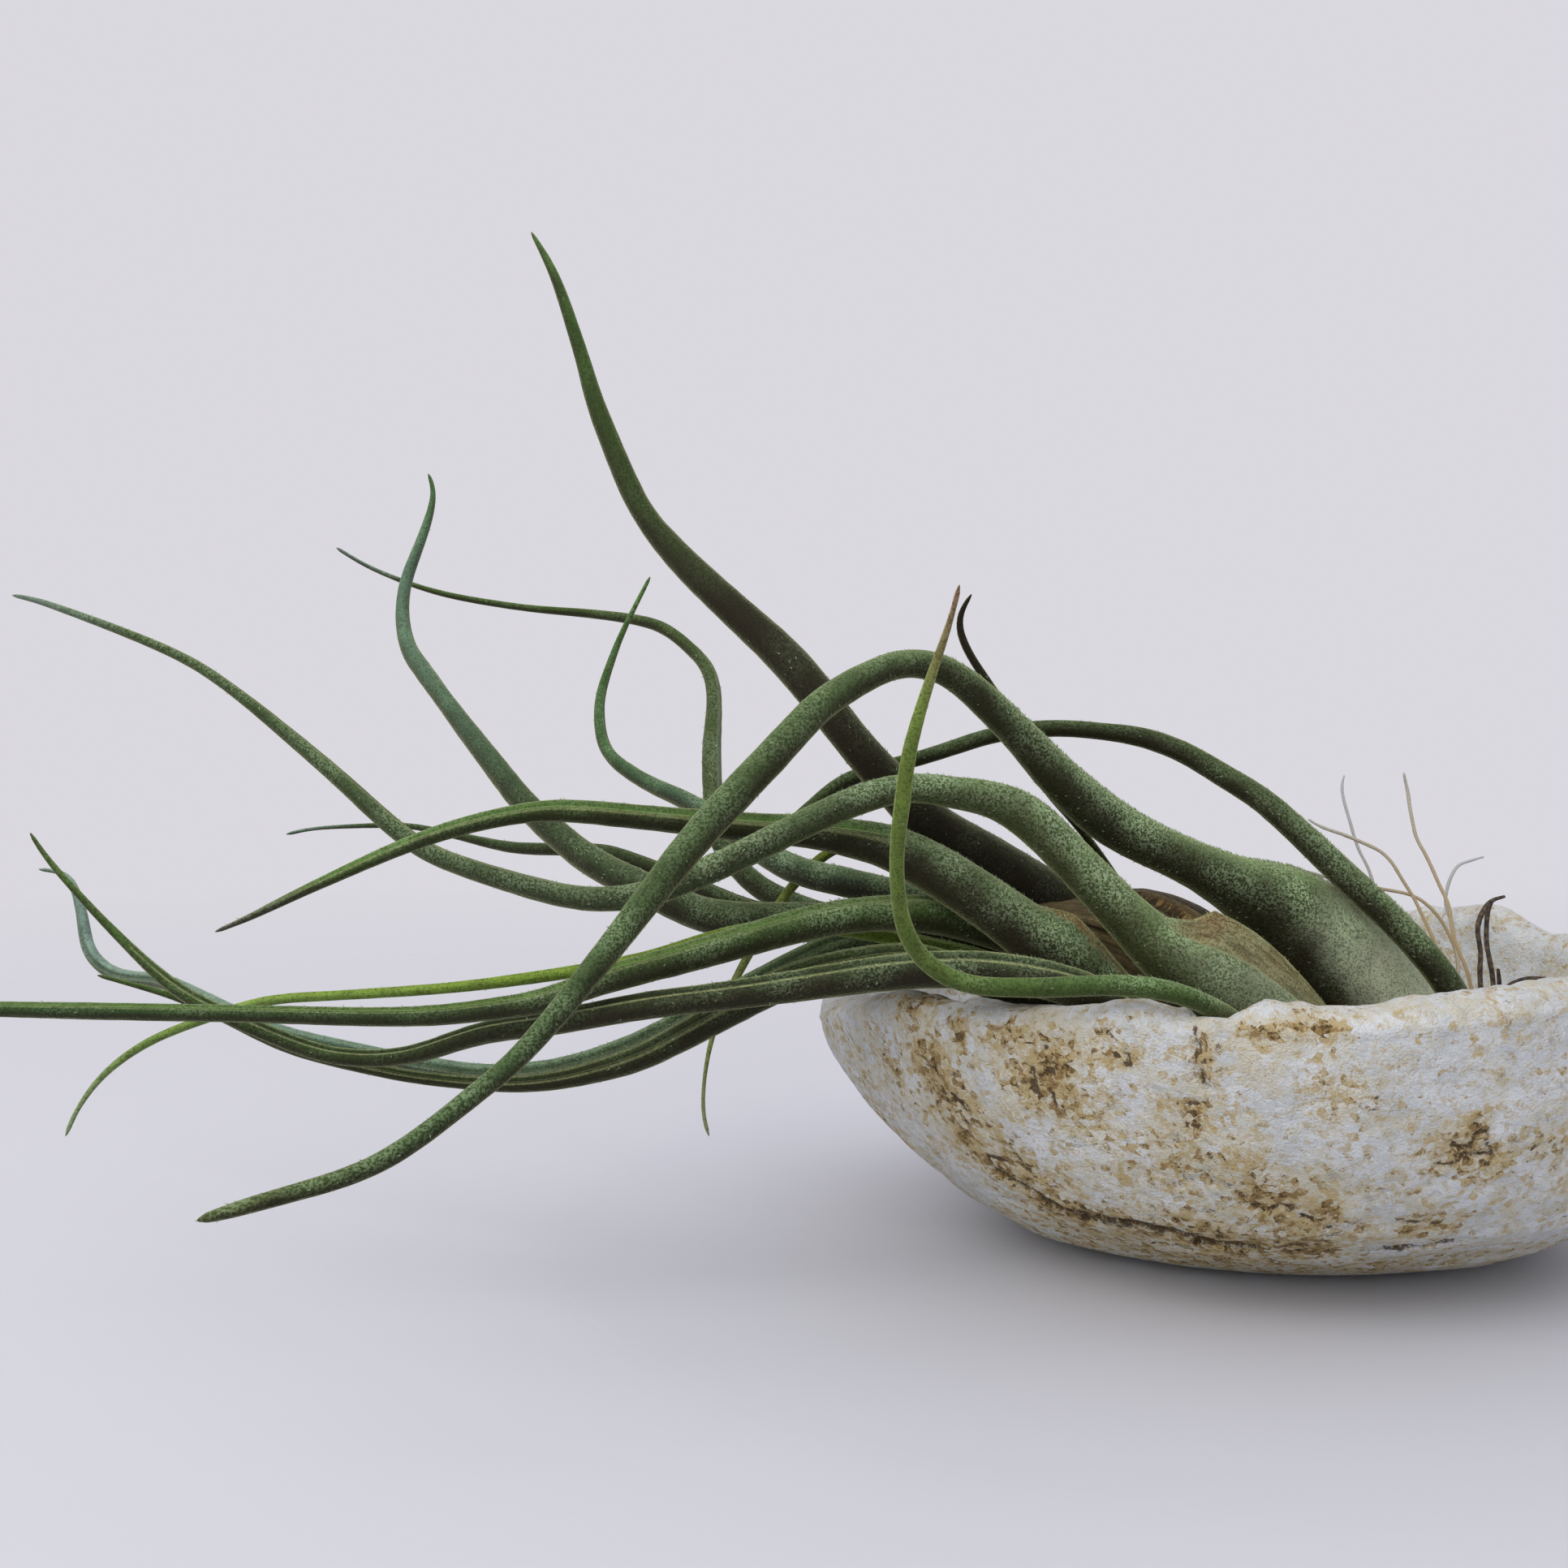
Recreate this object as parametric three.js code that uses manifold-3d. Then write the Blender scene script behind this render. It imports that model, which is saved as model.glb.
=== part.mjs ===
import * as THREE from 'three';
import { mergeVertices } from 'three/addons/utils/BufferGeometryUtils.js';
import Module from 'manifold-3d';

const wasm = await Module();
wasm.setup();

// An air plant that lies in a rough stone bowl and reaches far out over its left rim.
// Lengths are in millimetres and +Z is up. The bowl stands with the middle of its foot on the
// origin, and the viewer stands on the -Y side.

// Driving dimensions of the bowl.
const bowlRadius = 76;
const bowlHeight = 50;
const footRadius = 28;
const wallThickness = 9;
const floorHeight = 9;
const floorRadius = 36;
const bulgeStart = 12; // the wall above this height stretches and shrinks with the rim
const outerCurve = [1.6, 0.46]; // how fast the outside swells from the foot, and how upright it ends
const innerCurve = [1.8, 0.5];
const footSquash = 0.16; // the foot is this share less deep than wide, and the squash fades upwards
const squashTop = 14;
const rimWobble = [[3, 1, 0.006], [7, 0, 0.005]]; // waves round the rim: count, shift, share of radius
const bowlSides = 44;
const notchAngle = 249.3;
const notchFloor = 44.5; // at the outer wall, from where the notch slopes down inwards
const notchTilt = 15;

// Height of the rim round the bowl: [degrees from +X, height].
const rimHeights = [
  [0, 49], [28, 47], [37, 51], [47, 50.5], [52, 49], [90, 46], [135, 42], [180, 38], [196, 41],
  [208, 44], [232, 44.6], [242, 46.5], [262, 47], [285, 50], [315, 50], [360, 49],
];

// The eye that the places below are seen from, and the gap that touching pieces keep.
const eye = { x: -81.7, height: 75, distance: 287 };
const gap = 0.35;
const thinnest = 0.35; // radius that no leaf or root goes below

// The short stem that all leaves grow from, foot first: [x, y, z, radius].
const stemStations = [
  [15, -20, 9.3, 6], [15, -20, 14, 8], [7, -21, 21.5, 11], [-2, -22, 29, 13.5],
  [-14, -25, 37, 15], [-27, -29, 46, 15], [-37, -31, 51.5, 11.5], [-46, -33, 55.5, 6.5],
  [-51, -34, 58, 1.5],
];

// Leaves, root first. Each station is [across, up, depth, width]: across and up as they look from
// the eye, on the upright plane through the bowl's middle, and depth away from that plane.
const leafStations = {
  leaf_high_arch: [
    [20, 9, -19, 6.9], [20.5, 18.5, -22, 14.9], [20.5, 29, -25, 20.6], [17.2, 37.2, -27, 22.2],
    [10, 47, -28, 20], [2.8, 53.7, -29, 15.8], [-5.5, 58, -32, 10], [-13.5, 62, -35, 7.7],
    [-20, 65, -36, 7.8], [-27, 69, -38, 8], [-34.5, 75.5, -41, 7.4], [-41, 82.5, -44, 6.2],
    [-48, 89.5, -47, 5.6], [-54.5, 94.5, -50, 5], [-62, 95.5, -54, 4.8], [-69, 92.5, -58, 5.1],
    [-76, 88, -62, 5.5], [-82.5, 81, -66, 5.9], [-96.5, 66, -74, 5.9], [-111, 47.5, -84, 4.8],
    [-125, 30.5, -93, 3.9], [-134, 22.5, -98, 3.6], [-150.5, 10.5, -106, 3.4],
    [-169, 4.5, -111, 2.9], [-177.5, 2, -112, 2.5], [-181, 1, -112, 1.5],
  ],
  leaf_long_wave: [
    [17, 10.5, -26, 6.9], [12.5, 17.5, -32, 11.8], [7.5, 26, -38, 15.4], [0, 34.5, -42, 16],
    [-7.5, 41, -45, 14.3], [-14.5, 44.5, -46, 11.8], [-19.5, 48.5, -46, 9.4], [-25, 54, -46, 8],
    [-35.5, 65, -46, 7.4], [-41, 70, -46, 7.6], [-46, 72.5, -46, 6.3], [-52.5, 73.5, -47, 5.6],
    [-59, 74.5, -48, 5.1], [-66, 73.5, -49, 5.2], [-77, 69, -51, 5.2], [-91, 62, -54, 5],
    [-104.5, 56.5, -55, 4.7], [-113, 55.5, -53, 4.4], [-121, 56.5, -50, 4.1],
    [-137.5, 61.5, -42, 3.4], [-146, 66, -38, 3.3], [-159.5, 78, -31, 2.8],
    [-176, 91.5, -22, 1.9], [-187, 98, -16, 1.7], [-206.5, 105.5, -6, 1.1], [-212.5, 107, -3, 0.6],
  ],
  leaf_grooved: [
    [4, 12, -25, 6.1], [-15, 26.5, -37, 9.1], [-24, 34, -41, 9.6], [-31, 40.5, -43, 9.9],
    [-36.5, 46.5, -45, 10.3], [-44, 52.5, -45, 9.2], [-52, 58, -44, 8.9], [-60.5, 63, -42, 8.3],
    [-66, 65, -42, 7.4], [-71.5, 66, -42, 6.5], [-77, 67, -42, 5.8], [-85.5, 67.5, -43, 5.2],
    [-102, 69, -47, 4.4], [-118.5, 70.5, -51, 4], [-126.5, 70, -53, 3.4], [-137.5, 67.5, -55, 3],
    [-148.5, 63.5, -55, 2.6], [-165, 56, -55, 1.7], [-172, 52.5, -55, 1.2], [-178, 50, -55, 0.6],
  ],
  leaf_upright: [
    [-12.5, 36.5, -26, 9.6], [-25, 45.5, -27, 11.6], [-36, 54, -29, 11], [-46.5, 61, -31, 9.9],
    [-56.5, 67.5, -34, 8.5], [-61.5, 73, -36, 7.4], [-65.5, 77, -37, 6.7], [-71, 83.5, -38, 6.3],
    [-77.5, 92, -37, 6.5], [-83, 98, -35, 6.3], [-89, 103.5, -33, 5.8], [-95, 109, -31, 5.4],
    [-100.5, 114.5, -28, 4.8], [-105, 120, -26, 4], [-108, 125.5, -24, 3.9],
    [-113.5, 139, -20, 3.2], [-116, 147.5, -18, 2.5], [-120.5, 161, -15, 1.7],
    [-124.5, 168.5, -13, 0.6],
  ],
  leaf_right_arch: [
    [22, 9, -24, 3.3], [28.5, 16.5, -31, 4.7], [33, 26.5, -37, 5.2], [33.5, 34.5, -40, 5.2],
    [32, 39.5, -41, 5.1], [28, 45, -40, 5], [22, 51.5, -37, 5], [15, 58, -34, 5],
    [0.5, 71.5, -26, 4.3], [-6.5, 76, -22, 4], [-14, 80.5, -19, 3.7], [-21, 83, -17, 3.4],
    [-28.5, 84, -17, 2.9], [-35.5, 84.5, -17, 2.9], [-45.5, 83.5, -18, 2.8],
    [-56.5, 80, -20, 2.6], [-70.5, 76, -23, 2.6], [-75, 73, -25, 2.3], [-81, 68, -27, 1.9],
    [-88, 63.5, -29, 1.2], [-93, 61, -30, 0.6],
  ],
  leaf_level: [
    [-11, 27.5, -25, 7.7], [-20.5, 35, -28, 8.3], [-30.5, 42.5, -32, 8], [-40, 48.5, -35, 7.6],
    [-49.5, 51.5, -37, 7], [-58, 53, -40, 6.5], [-66, 53, -44, 6.1], [-77, 51.5, -49, 5.9],
    [-96.5, 46, -56, 5.2], [-113, 41.5, -61, 4.7], [-121, 38.5, -62, 4.3], [-129.5, 37, -62, 3.9],
    [-146, 35.5, -62, 3.4], [-173.5, 36, -61, 3], [-201, 36.5, -60, 2.9], [-228.5, 37, -59, 2.3],
    [-241, 36.5, -58, 1.5], [-249.5, 36, -57, 0.6],
  ],
  leaf_low: [
    [4, 12.5, -29, 5], [0, 16, -33, 5.5], [-7, 23, -41, 6.1], [-16.5, 31, -48, 6.3],
    [-25.5, 37.5, -49, 6.6], [-31.5, 40, -52, 6.9], [-38, 42, -55, 6.6], [-49.5, 43.5, -56, 6.5],
    [-63.5, 43, -56, 6.2], [-88, 39.5, -58, 5.1], [-104.5, 37.5, -59, 4.7], [-121, 34.5, -58, 4.3],
    [-132, 33, -56, 4], [-143, 29.5, -53, 3.3], [-148.5, 28.5, -52, 3], [-155.5, 28.5, -51, 3],
    [-162.5, 30, -50, 2.9], [-173.5, 34.5, -48, 2.8], [-184.5, 40, -45, 2.5],
    [-195.5, 50, -42, 1.5], [-206.5, 62, -40, 1], [-209.5, 66.5, -40, 0.6],
  ],
  leaf_over_rim: [
    [18, 10, -25, 2.8], [15.5, 11, -38, 3.3], [10.5, 16.5, -46, 3.6], [4, 25, -52, 3.7],
    [-2, 32, -57, 3.7], [-7, 36, -63, 3.7], [-10, 37.5, -69, 3.7], [-14, 39.5, -70, 3.7],
    [-19.5, 40.5, -68, 3.9], [-26, 41, -66, 3.7], [-36, 40.5, -65, 3.6], [-44, 40.5, -64, 3.4],
    [-51, 41, -64, 3.3], [-55.5, 43, -65, 3.3], [-59, 46, -66, 3.2], [-61, 49.5, -68, 3],
    [-62, 53, -69, 2.8], [-62.5, 58, -71, 2.5], [-62.5, 65, -74, 2.6], [-61.5, 72.5, -77, 2.8],
    [-60.5, 80.5, -80, 2.5], [-57, 92.5, -84, 1.8], [-53.5, 102.5, -88, 1.1],
    [-52, 108.5, -90, 0.6],
  ],
  leaf_back_curl: [
    [-22, 42, -25, 6.6], [-31.5, 45.5, -19, 7.2], [-40.5, 47.5, -14, 7.4], [-49.5, 49, -13, 7.3],
    [-63.5, 51, -16, 7], [-77, 51.5, -19, 6.9], [-91, 52, -19, 6.3], [-97.5, 53.5, -17, 5.8],
    [-104.5, 57, -14, 5.5], [-114.5, 62, -7, 5.2], [-124, 70, 3, 4.7], [-129.5, 76.5, 10, 4.3],
    [-139.5, 89.5, 25, 3.3], [-143.5, 95, 31, 3.2], [-145.5, 98, 34, 2.8],
    [-146.5, 103.5, 39, 2.3], [-146, 109, 42, 2.1], [-144, 114.5, 44, 1.8], [-142, 120, 46, 1.4],
    [-141, 125, 48, 0.8], [-142, 127.5, 49, 0.6],
  ],
  leaf_hooked: [
    [-23.5, 38.5, -22, 4.7], [-33, 42, -12, 4.8], [-42.5, 44.5, -6, 4.8], [-52.5, 47.5, -5, 4.8],
    [-69, 51.5, -4, 4.5], [-75.5, 53, -3, 4.4], [-82, 55.5, -1, 4.4], [-86.5, 58, 1, 4.1],
    [-90, 61.5, 3, 3.9], [-92.5, 65, 6, 3.6], [-93.5, 69, 9, 3.4], [-94, 80, 18, 3.3],
    [-93.5, 89.5, 27, 2.6], [-94.5, 94.5, 32, 2.5], [-97, 97.5, 36, 2.3], [-102, 101.5, 41, 2.1],
    [-107.5, 103, 45, 1.8], [-115.5, 104, 50, 1.5], [-126.5, 105, 54, 1.2],
    [-140.5, 107.5, 59, 1], [-151.5, 111.5, 63, 0.7], [-157.5, 115, 65, 0.6],
  ],
  leaf_short_curl: [
    [-22.5, 44, -26, 5.8], [-30.5, 47, -23, 5.9], [-38.5, 49.5, -22, 6.1], [-49.5, 52.5, -23, 5.8],
    [-59, 55.5, -23, 5.4], [-66, 57, -23, 5.2], [-71.5, 58.5, -22, 5.2], [-77, 59.5, -19, 5],
    [-82, 61.5, -16, 4.8], [-89, 66, -9, 4.1], [-97, 71.5, 1, 3.3], [-104.5, 75, 10, 2.8],
    [-108.5, 77.5, 15, 2.6], [-111, 79.5, 18, 2.3], [-112.5, 82, 21, 2.1], [-113, 85.5, 24, 1.9],
    [-113, 89.5, 27, 1.7], [-111.5, 94.5, 30, 1.4], [-109, 101, 35, 1], [-104.5, 110, 40, 0.6],
  ],
  leaf_fine: [
    [-25, 37.5, -18, 3.3], [-36, 40, -2, 3.4], [-45.5, 44, 3, 3.4], [-53.5, 46.5, 5, 3.3],
    [-74.5, 51.5, 6, 3.2], [-82.5, 53, 6, 3], [-89, 54.5, 6, 2.9], [-100.5, 59.5, 8, 2.8],
    [-106, 61.5, 10, 2.8], [-111.5, 63.5, 12, 2.6], [-118.5, 64, 16, 2.3], [-124, 64, 19, 2.2],
    [-129.5, 64.5, 22, 1.9], [-140.5, 67, 28, 1.2], [-147, 68, 31, 1], [-161, 67.5, 36, 0.6],
    [-166, 66.5, 37, 0.6],
  ],
  leaf_dark_tip: [
    [-15, 43.5, -24, 2.3], [-20, 50.5, -23, 2.3], [-24, 56.5, -23, 2.1], [-28.5, 63.5, -26, 1.5],
    [-31.5, 67.5, -28, 1.4], [-34.5, 71, -31, 1.5], [-38, 75.5, -33, 1.8], [-45, 89, -36, 1.7],
    [-50, 96.5, -37, 1.4], [-51.5, 99.5, -38, 1.4], [-52.5, 102, -38, 1.2], [-52, 104.5, -39, 1],
    [-50, 107, -40, 0.6],
  ],
  leaf_far: [
    [-23.5, 36.5, -30, 5.2], [-31.5, 37.5, -26, 5.5], [-40, 40, -24, 5.6], [-49.5, 44, -25, 5.5],
    [-58, 46.5, -27, 5.4], [-63.5, 48, -29, 5.2], [-71.5, 48, -32, 4.8], [-77, 46, -34, 4.5],
    [-84, 42.5, -35, 4.4], [-96.5, 36, -34, 4.1], [-107.5, 30.5, -31, 3.9],
    [-118.5, 27, -27, 3.6], [-126.5, 26, -24, 3.4], [-135, 26, -20, 3.3], [-151.5, 29, -11, 3],
    [-168, 33, 0, 2.9], [-181.5, 39, 12, 2.9], [-187, 41.5, 17, 2.6], [-192.5, 42, 22, 2.5],
    [-196, 43, 25, 2.3], [-198.5, 45, 27, 2.3], [-200, 47.5, 29, 2.2], [-201, 54, 33, 1.8],
    [-202.5, 58.5, 35, 1.2], [-203.5, 60, 36, 0.8], [-208, 60.5, 37, 0.6],
  ],
  leaf_sagging: [
    [-20.5, 34.5, -36, 5], [-30.5, 36.5, -34, 5.5], [-38.5, 39, -37, 5.8], [-47, 41.5, -40, 5.8],
    [-58, 45, -43, 5.8], [-66, 45, -45, 5.6], [-74.5, 43.5, -46, 5.6], [-80, 42, -47, 5.5],
    [-91, 36.5, -49, 5.4], [-102, 30.5, -48, 4.8], [-107.5, 28, -47, 4.4], [-118.5, 25, -45, 3.4],
    [-128, 24, -43, 2.8], [-137.5, 24.5, -41, 2.3], [-148.5, 26, -39, 2.2], [-165, 30, -36, 2.1],
    [-176, 35, -34, 1.7], [-181.5, 37.5, -33, 1.4], [-187, 39.5, -32, 1.1],
    [-198, 42.5, -30, 0.6],
  ],
  leaf_lime: [
    [-23.5, 40, -32, 2.8], [-31.5, 41, -30, 2.9], [-40, 43, -29, 2.9], [-49.5, 46, -31, 2.8],
    [-59, 48, -34, 2.8], [-71.5, 50.5, -38, 2.8], [-82.5, 51, -42, 2.6], [-93.5, 49, -46, 2.5],
    [-104.5, 45.5, -49, 2.5], [-118.5, 43, -51, 2.2], [-137.5, 40.5, -53, 1.9],
    [-159.5, 39, -53, 1.7], [-168, 38.5, -53, 1.7], [-176, 36.5, -52, 1.7], [-187, 32.5, -52, 1.5],
    [-192.5, 29.5, -52, 1.4], [-198, 25, -52, 1.1], [-202.5, 18.5, -52, 0.7],
    [-203.5, 15.5, -52, 0.6],
  ],
  leaf_hanging: [
    [-25.5, 45, -20, 1.9], [-34.5, 48, -11, 2.1], [-45.5, 54, -9, 1.9], [-56.5, 61, -9, 1.8],
    [-65.5, 64.5, -10, 1.8], [-71, 65, -11, 1.8], [-75.5, 62.5, -12, 1.8], [-80.5, 57.5, -12, 1.7],
    [-84.5, 51.5, -13, 1.7], [-88, 45.5, -14, 1.5], [-92.5, 36.5, -16, 1.1], [-95, 27, -18, 0.7],
    [-95.5, 18, -19, 0.6], [-94.5, 15.5, -19, 0.6],
  ],
};

// Dry roots, from inside the stem's foot: thickness, then [across, up, depth].
const roots = [
  [1.1, [[22.5, 10.5, -19], [31.5, 22, -13], [36, 36, -11], [36.5, 45.5, -9], [36, 51.5, -8],
    [37.5, 54.5, -7], [40.5, 56, -5]]],
  [1.2, [[22.5, 11, -18], [33.5, 25, -8], [38.5, 38, -5], [37.5, 47.5, -3], [37.5, 52.5, -2],
    [38.5, 55, -2]]],
  [1.2, [[22.5, 10, -19], [35, 25, 0], [39.5, 36, 3], [39, 42, 3]]],
  [1.1, [[22.5, 10, -20], [36, 23.5, -12], [39.5, 36, -14], [40.5, 40.5, -15], [45, 42, -17],
    [50, 41.5, -19]]],
  [0.9, [[22.5, 11, -18], [31.5, 25, -2], [35, 39, 2], [32.5, 47.5, 5], [30, 57, 8],
    [26, 65, 10], [24, 74, 12], [23.5, 77, 12]]],
  [0.9, [[22, 11, -19], [28, 25, 4], [30, 43, 11], [25.5, 55, 14], [19.5, 63.5, 16],
    [11, 67, 18], [7.5, 69, 19]]],
  [0.9, [[21.5, 11, -19], [25, 26, 14], [23.5, 41.5, 24], [18.5, 58, 29], [15, 66, 31],
    [13, 74, 32], [13.5, 76.5, 32]]],
  [0.9, [[22, 10.5, -19], [31.5, 26, 4], [32.5, 47, 17], [30.5, 55, 20], [32.5, 61, 22],
    [37, 62.5, 24]]],
  [0.9, [[22, 10.5, -19], [29.5, 25, 8], [32.5, 45, 19], [27.5, 54.5, 21], [21, 57, 22],
    [12.5, 58.5, 21], [4.5, 61, 20]]],
];

// Leaves with a groove along the upper side, by how deep it is and how far it is turned about the
// leaf in degrees. A turn below 0 opens it towards the viewer.
const grooves = {
  leaf_grooved: [0.34, -38],
  leaf_long_wave: [0.12, -15],
  leaf_high_arch: [0.1, -20],
  leaf_level: [0.14, -25],
  leaf_low: [0.26, -42],
  leaf_right_arch: [0.2, -30],
  leaf_back_curl: [0.2, 40],
  leaf_sagging: [0.22, -34],
};
const grooveHalfWidth = 0.5; // in radians

// Leaves whose base lies against an older one.
const olderLeaf = {
  leaf_over_rim: 'leaf_long_wave',
  leaf_low: 'leaf_grooved',
  leaf_fine: 'leaf_hooked',
  leaf_right_arch: 'leaf_high_arch',
  leaf_hanging: 'leaf_back_curl',
};

const leafColours = {
  leaf_high_arch: 0x55603f, leaf_long_wave: 0x4d5b3a, leaf_grooved: 0x667a45,
  leaf_upright: 0x3f4a2e, leaf_right_arch: 0x5a6b3f, leaf_level: 0x5c7440, leaf_low: 0x66753f,
  leaf_over_rim: 0x6f8f45, leaf_back_curl: 0x4c5a37, leaf_hooked: 0x5b6a45,
  leaf_short_curl: 0x60765a, leaf_fine: 0x6d7f52, leaf_dark_tip: 0x4b5a34, leaf_far: 0x6f8566,
  leaf_sagging: 0x74864a, leaf_lime: 0x8c9c3c, leaf_hanging: 0x707c3c,
};

// Where a place seen at (across, up) really is, depth millimetres behind the bowl's middle.
function placed(across, up, depth) {
  const scale = (eye.distance + depth) / eye.distance;
  return new THREE.Vector3(
    eye.x + (across - eye.x) * scale, depth, eye.height + (up - eye.height) * scale);
}

// A closed body of a closed geometry, with every shared corner one vertex.
function bodyOf(geometry) {
  geometry.deleteAttribute('normal');
  geometry.deleteAttribute('uv');
  const merged = mergeVertices(geometry, 1e-4);
  const faces = [];
  for (let i = 0; i < merged.index.count; i += 3) {
    const [a, b, c] = [0, 1, 2].map((k) => merged.index.getX(i + k));
    if (a !== b && b !== c && c !== a) faces.push(a, b, c);
  }
  return new wasm.Manifold(new wasm.Mesh({
    numProp: 3,
    vertProperties: new Float32Array(merged.attributes.position.array),
    triVerts: new Uint32Array(faces),
  }));
}

function smoothLine(points) {
  return new THREE.CatmullRomCurve3(points, false, 'catmullrom', 0.5);
}

// A tapering body round a smooth line through the stations, each a point and a radius. The groove
// is a share of the radius and lies along the upper side, turned about the line by some degrees.
function sweptBody(stations, sides, ringsPerStation, groove = 0, turn = 0) {
  const line = smoothLine(stations.map((s) => s.point));
  const girth = smoothLine(stations.map((s) => new THREE.Vector3(s.radius, 0, 0)));
  const rings = Math.round((stations.length - 1) * ringsPerStation);
  const frames = [];
  let upper = new THREE.Vector3(0, 0, 1);
  for (let i = 0; i <= rings; i++) {
    const along = line.getTangent(i / rings);
    upper = upper.clone().addScaledVector(along, -upper.dot(along)).normalize();
    if (i === 0) upper.applyAxisAngle(along, THREE.MathUtils.degToRad(turn));
    frames.push({
      centre: line.getPoint(i / rings),
      radius: Math.max(girth.getPoint(i / rings).x, thinnest),
      upper,
      sideways: new THREE.Vector3().crossVectors(along, upper),
    });
  }
  const shape = new THREE.CylinderGeometry(1, 1, 1, sides, rings);
  const corners = shape.attributes.position;
  for (let i = 0; i < corners.count; i++) {
    const frame = frames[Math.round((corners.getY(i) + 0.5) * rings)];
    const angle = Math.atan2(corners.getX(i), corners.getZ(i));
    const radius = frame.radius * (1 - groove * Math.exp(-((angle / grooveHalfWidth) ** 2)));
    const corner = frame.centre.clone()
      .addScaledVector(frame.upper, radius * corners.getZ(i))
      .addScaledVector(frame.sideways, radius * corners.getX(i));
    corners.setXYZ(i, corner.x, corner.y, corner.z);
  }
  return bodyOf(shape);
}

function meshOf(name, body, colour, roughness) {
  const solid = body.getMesh();
  const geometry = new THREE.BufferGeometry();
  geometry.setAttribute('position', new THREE.BufferAttribute(solid.vertProperties, 3));
  geometry.setIndex(new THREE.BufferAttribute(solid.triVerts, 1));
  geometry.computeVertexNormals();
  const material = new THREE.MeshStandardMaterial({ color: colour, roughness, metalness: 0 });
  const mesh = new THREE.Mesh(geometry, material);
  mesh.name = name;
  return mesh;
}

// The bowl: a turned shape whose foot is squashed and whose rim rises and dips, with a small notch
// at the front.
function rimHeightAt(degrees) {
  const next = rimHeights.findIndex(([angle]) => angle > degrees);
  const [fromAngle, fromHeight] = rimHeights[next - 1];
  const [toAngle, toHeight] = rimHeights[next];
  const share = (degrees - fromAngle) / (toAngle - fromAngle);
  return THREE.MathUtils.lerp(fromHeight, toHeight, THREE.MathUtils.smoothstep(share, 0, 1));
}

function bowlProfile() {
  const points = [new THREE.Vector2(0, 0), new THREE.Vector2(footRadius, 0)];
  const lip = wallThickness / 2;
  const straightTop = bowlHeight - lip;
  const outerSteps = 9;
  const closerNearFoot = 1.6;
  for (let i = 1; i <= outerSteps; i++) {
    const height = straightTop * (i / outerSteps) ** closerNearFoot;
    const reach = (1 - (1 - height / bowlHeight) ** outerCurve[0]) ** outerCurve[1];
    points.push(new THREE.Vector2(footRadius + (bowlRadius - footRadius) * reach, height));
  }
  for (const angle of [30, 65, 90, 115, 150]) {
    const turn = THREE.MathUtils.degToRad(angle);
    points.push(new THREE.Vector2(
      bowlRadius - lip + lip * Math.cos(turn), straightTop + lip * Math.sin(turn)));
  }
  const innerSteps = 6;
  const closerNearFloor = 1.5;
  const innerRadius = bowlRadius - wallThickness;
  for (let i = 0; i < innerSteps; i++) {
    const rise = (1 - i / innerSteps) ** closerNearFloor;
    const reach = (1 - (1 - rise) ** innerCurve[0]) ** innerCurve[1];
    points.push(new THREE.Vector2(
      floorRadius + (innerRadius - floorRadius) * reach,
      floorHeight + (straightTop - floorHeight) * rise));
  }
  points.push(new THREE.Vector2(floorRadius, floorHeight), new THREE.Vector2(0, floorHeight));
  return points;
}

function bowlBody() {
  const shape = new THREE.LatheGeometry(bowlProfile(), bowlSides);
  shape.rotateX(Math.PI / 2);
  const corners = shape.attributes.position;
  for (let i = 0; i < corners.count; i++) {
    const [x, y, z] = [corners.getX(i), corners.getY(i), corners.getZ(i)];
    const angle = Math.atan2(y, x);
    const degrees = (THREE.MathUtils.radToDeg(angle) + 360) % 360;
    const share = Math.max(0, (z - bulgeStart) / (bowlHeight - bulgeStart));
    const wobble = rimWobble.reduce((sum, [count, shift, size]) => (
      sum + size * Math.sin(count * angle + shift)), 0);
    const bump = 1 + share * wobble;
    const squash = 1 - footSquash * Math.max(0, 1 - z / squashTop);
    const rise = (rimHeightAt(degrees) - bowlHeight) * share;
    corners.setXYZ(i, x * bump, y * bump * squash, z + rise);
  }
  return bodyOf(shape).subtract(notchBody());
}

// The notch is wider at its top than at its floor, and its floor slopes down inwards.
function notchBody() {
  const halfFloor = 2.6;
  const halfTop = 4.4;
  const depth = 6;
  const outline = new THREE.Shape([
    new THREE.Vector2(-halfFloor, 0), new THREE.Vector2(halfFloor, 0),
    new THREE.Vector2(halfTop, depth), new THREE.Vector2(-halfTop, depth),
  ]);
  const length = 3 * wallThickness;
  const cutter = new THREE.ExtrudeGeometry(outline, { depth: length, bevelEnabled: false });
  cutter.translate(0, 0, depth - length);
  cutter.rotateX(-THREE.MathUtils.degToRad(notchTilt));
  cutter.translate(0, notchFloor, bowlRadius);
  cutter.rotateX(Math.PI / 2);
  cutter.rotateZ(THREE.MathUtils.degToRad(notchAngle - 270));
  return bodyOf(cutter);
}

// The stem, a little fatter and longer when it stands for the space that leaves keep clear of it.
function stemBody(clearance) {
  const stations = stemStations.map(([x, y, z, radius]) => (
    { point: new THREE.Vector3(x, y, z), radius: radius + clearance }));
  const tip = stations.at(-1).point;
  const towardsTip = tip.clone().sub(stations.at(-2).point).normalize();
  tip.addScaledVector(towardsTip, clearance);
  return sweptBody(stations, 14, 1.5);
}

function rootBody(thickness, route) {
  const stations = route.map(([across, up, depth], i) => (
    { point: placed(across, up, depth), radius: (thickness / 2) * (i === route.length - 1 ? 0.7 : 1) }));
  return sweptBody(stations, 5, 2);
}

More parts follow.
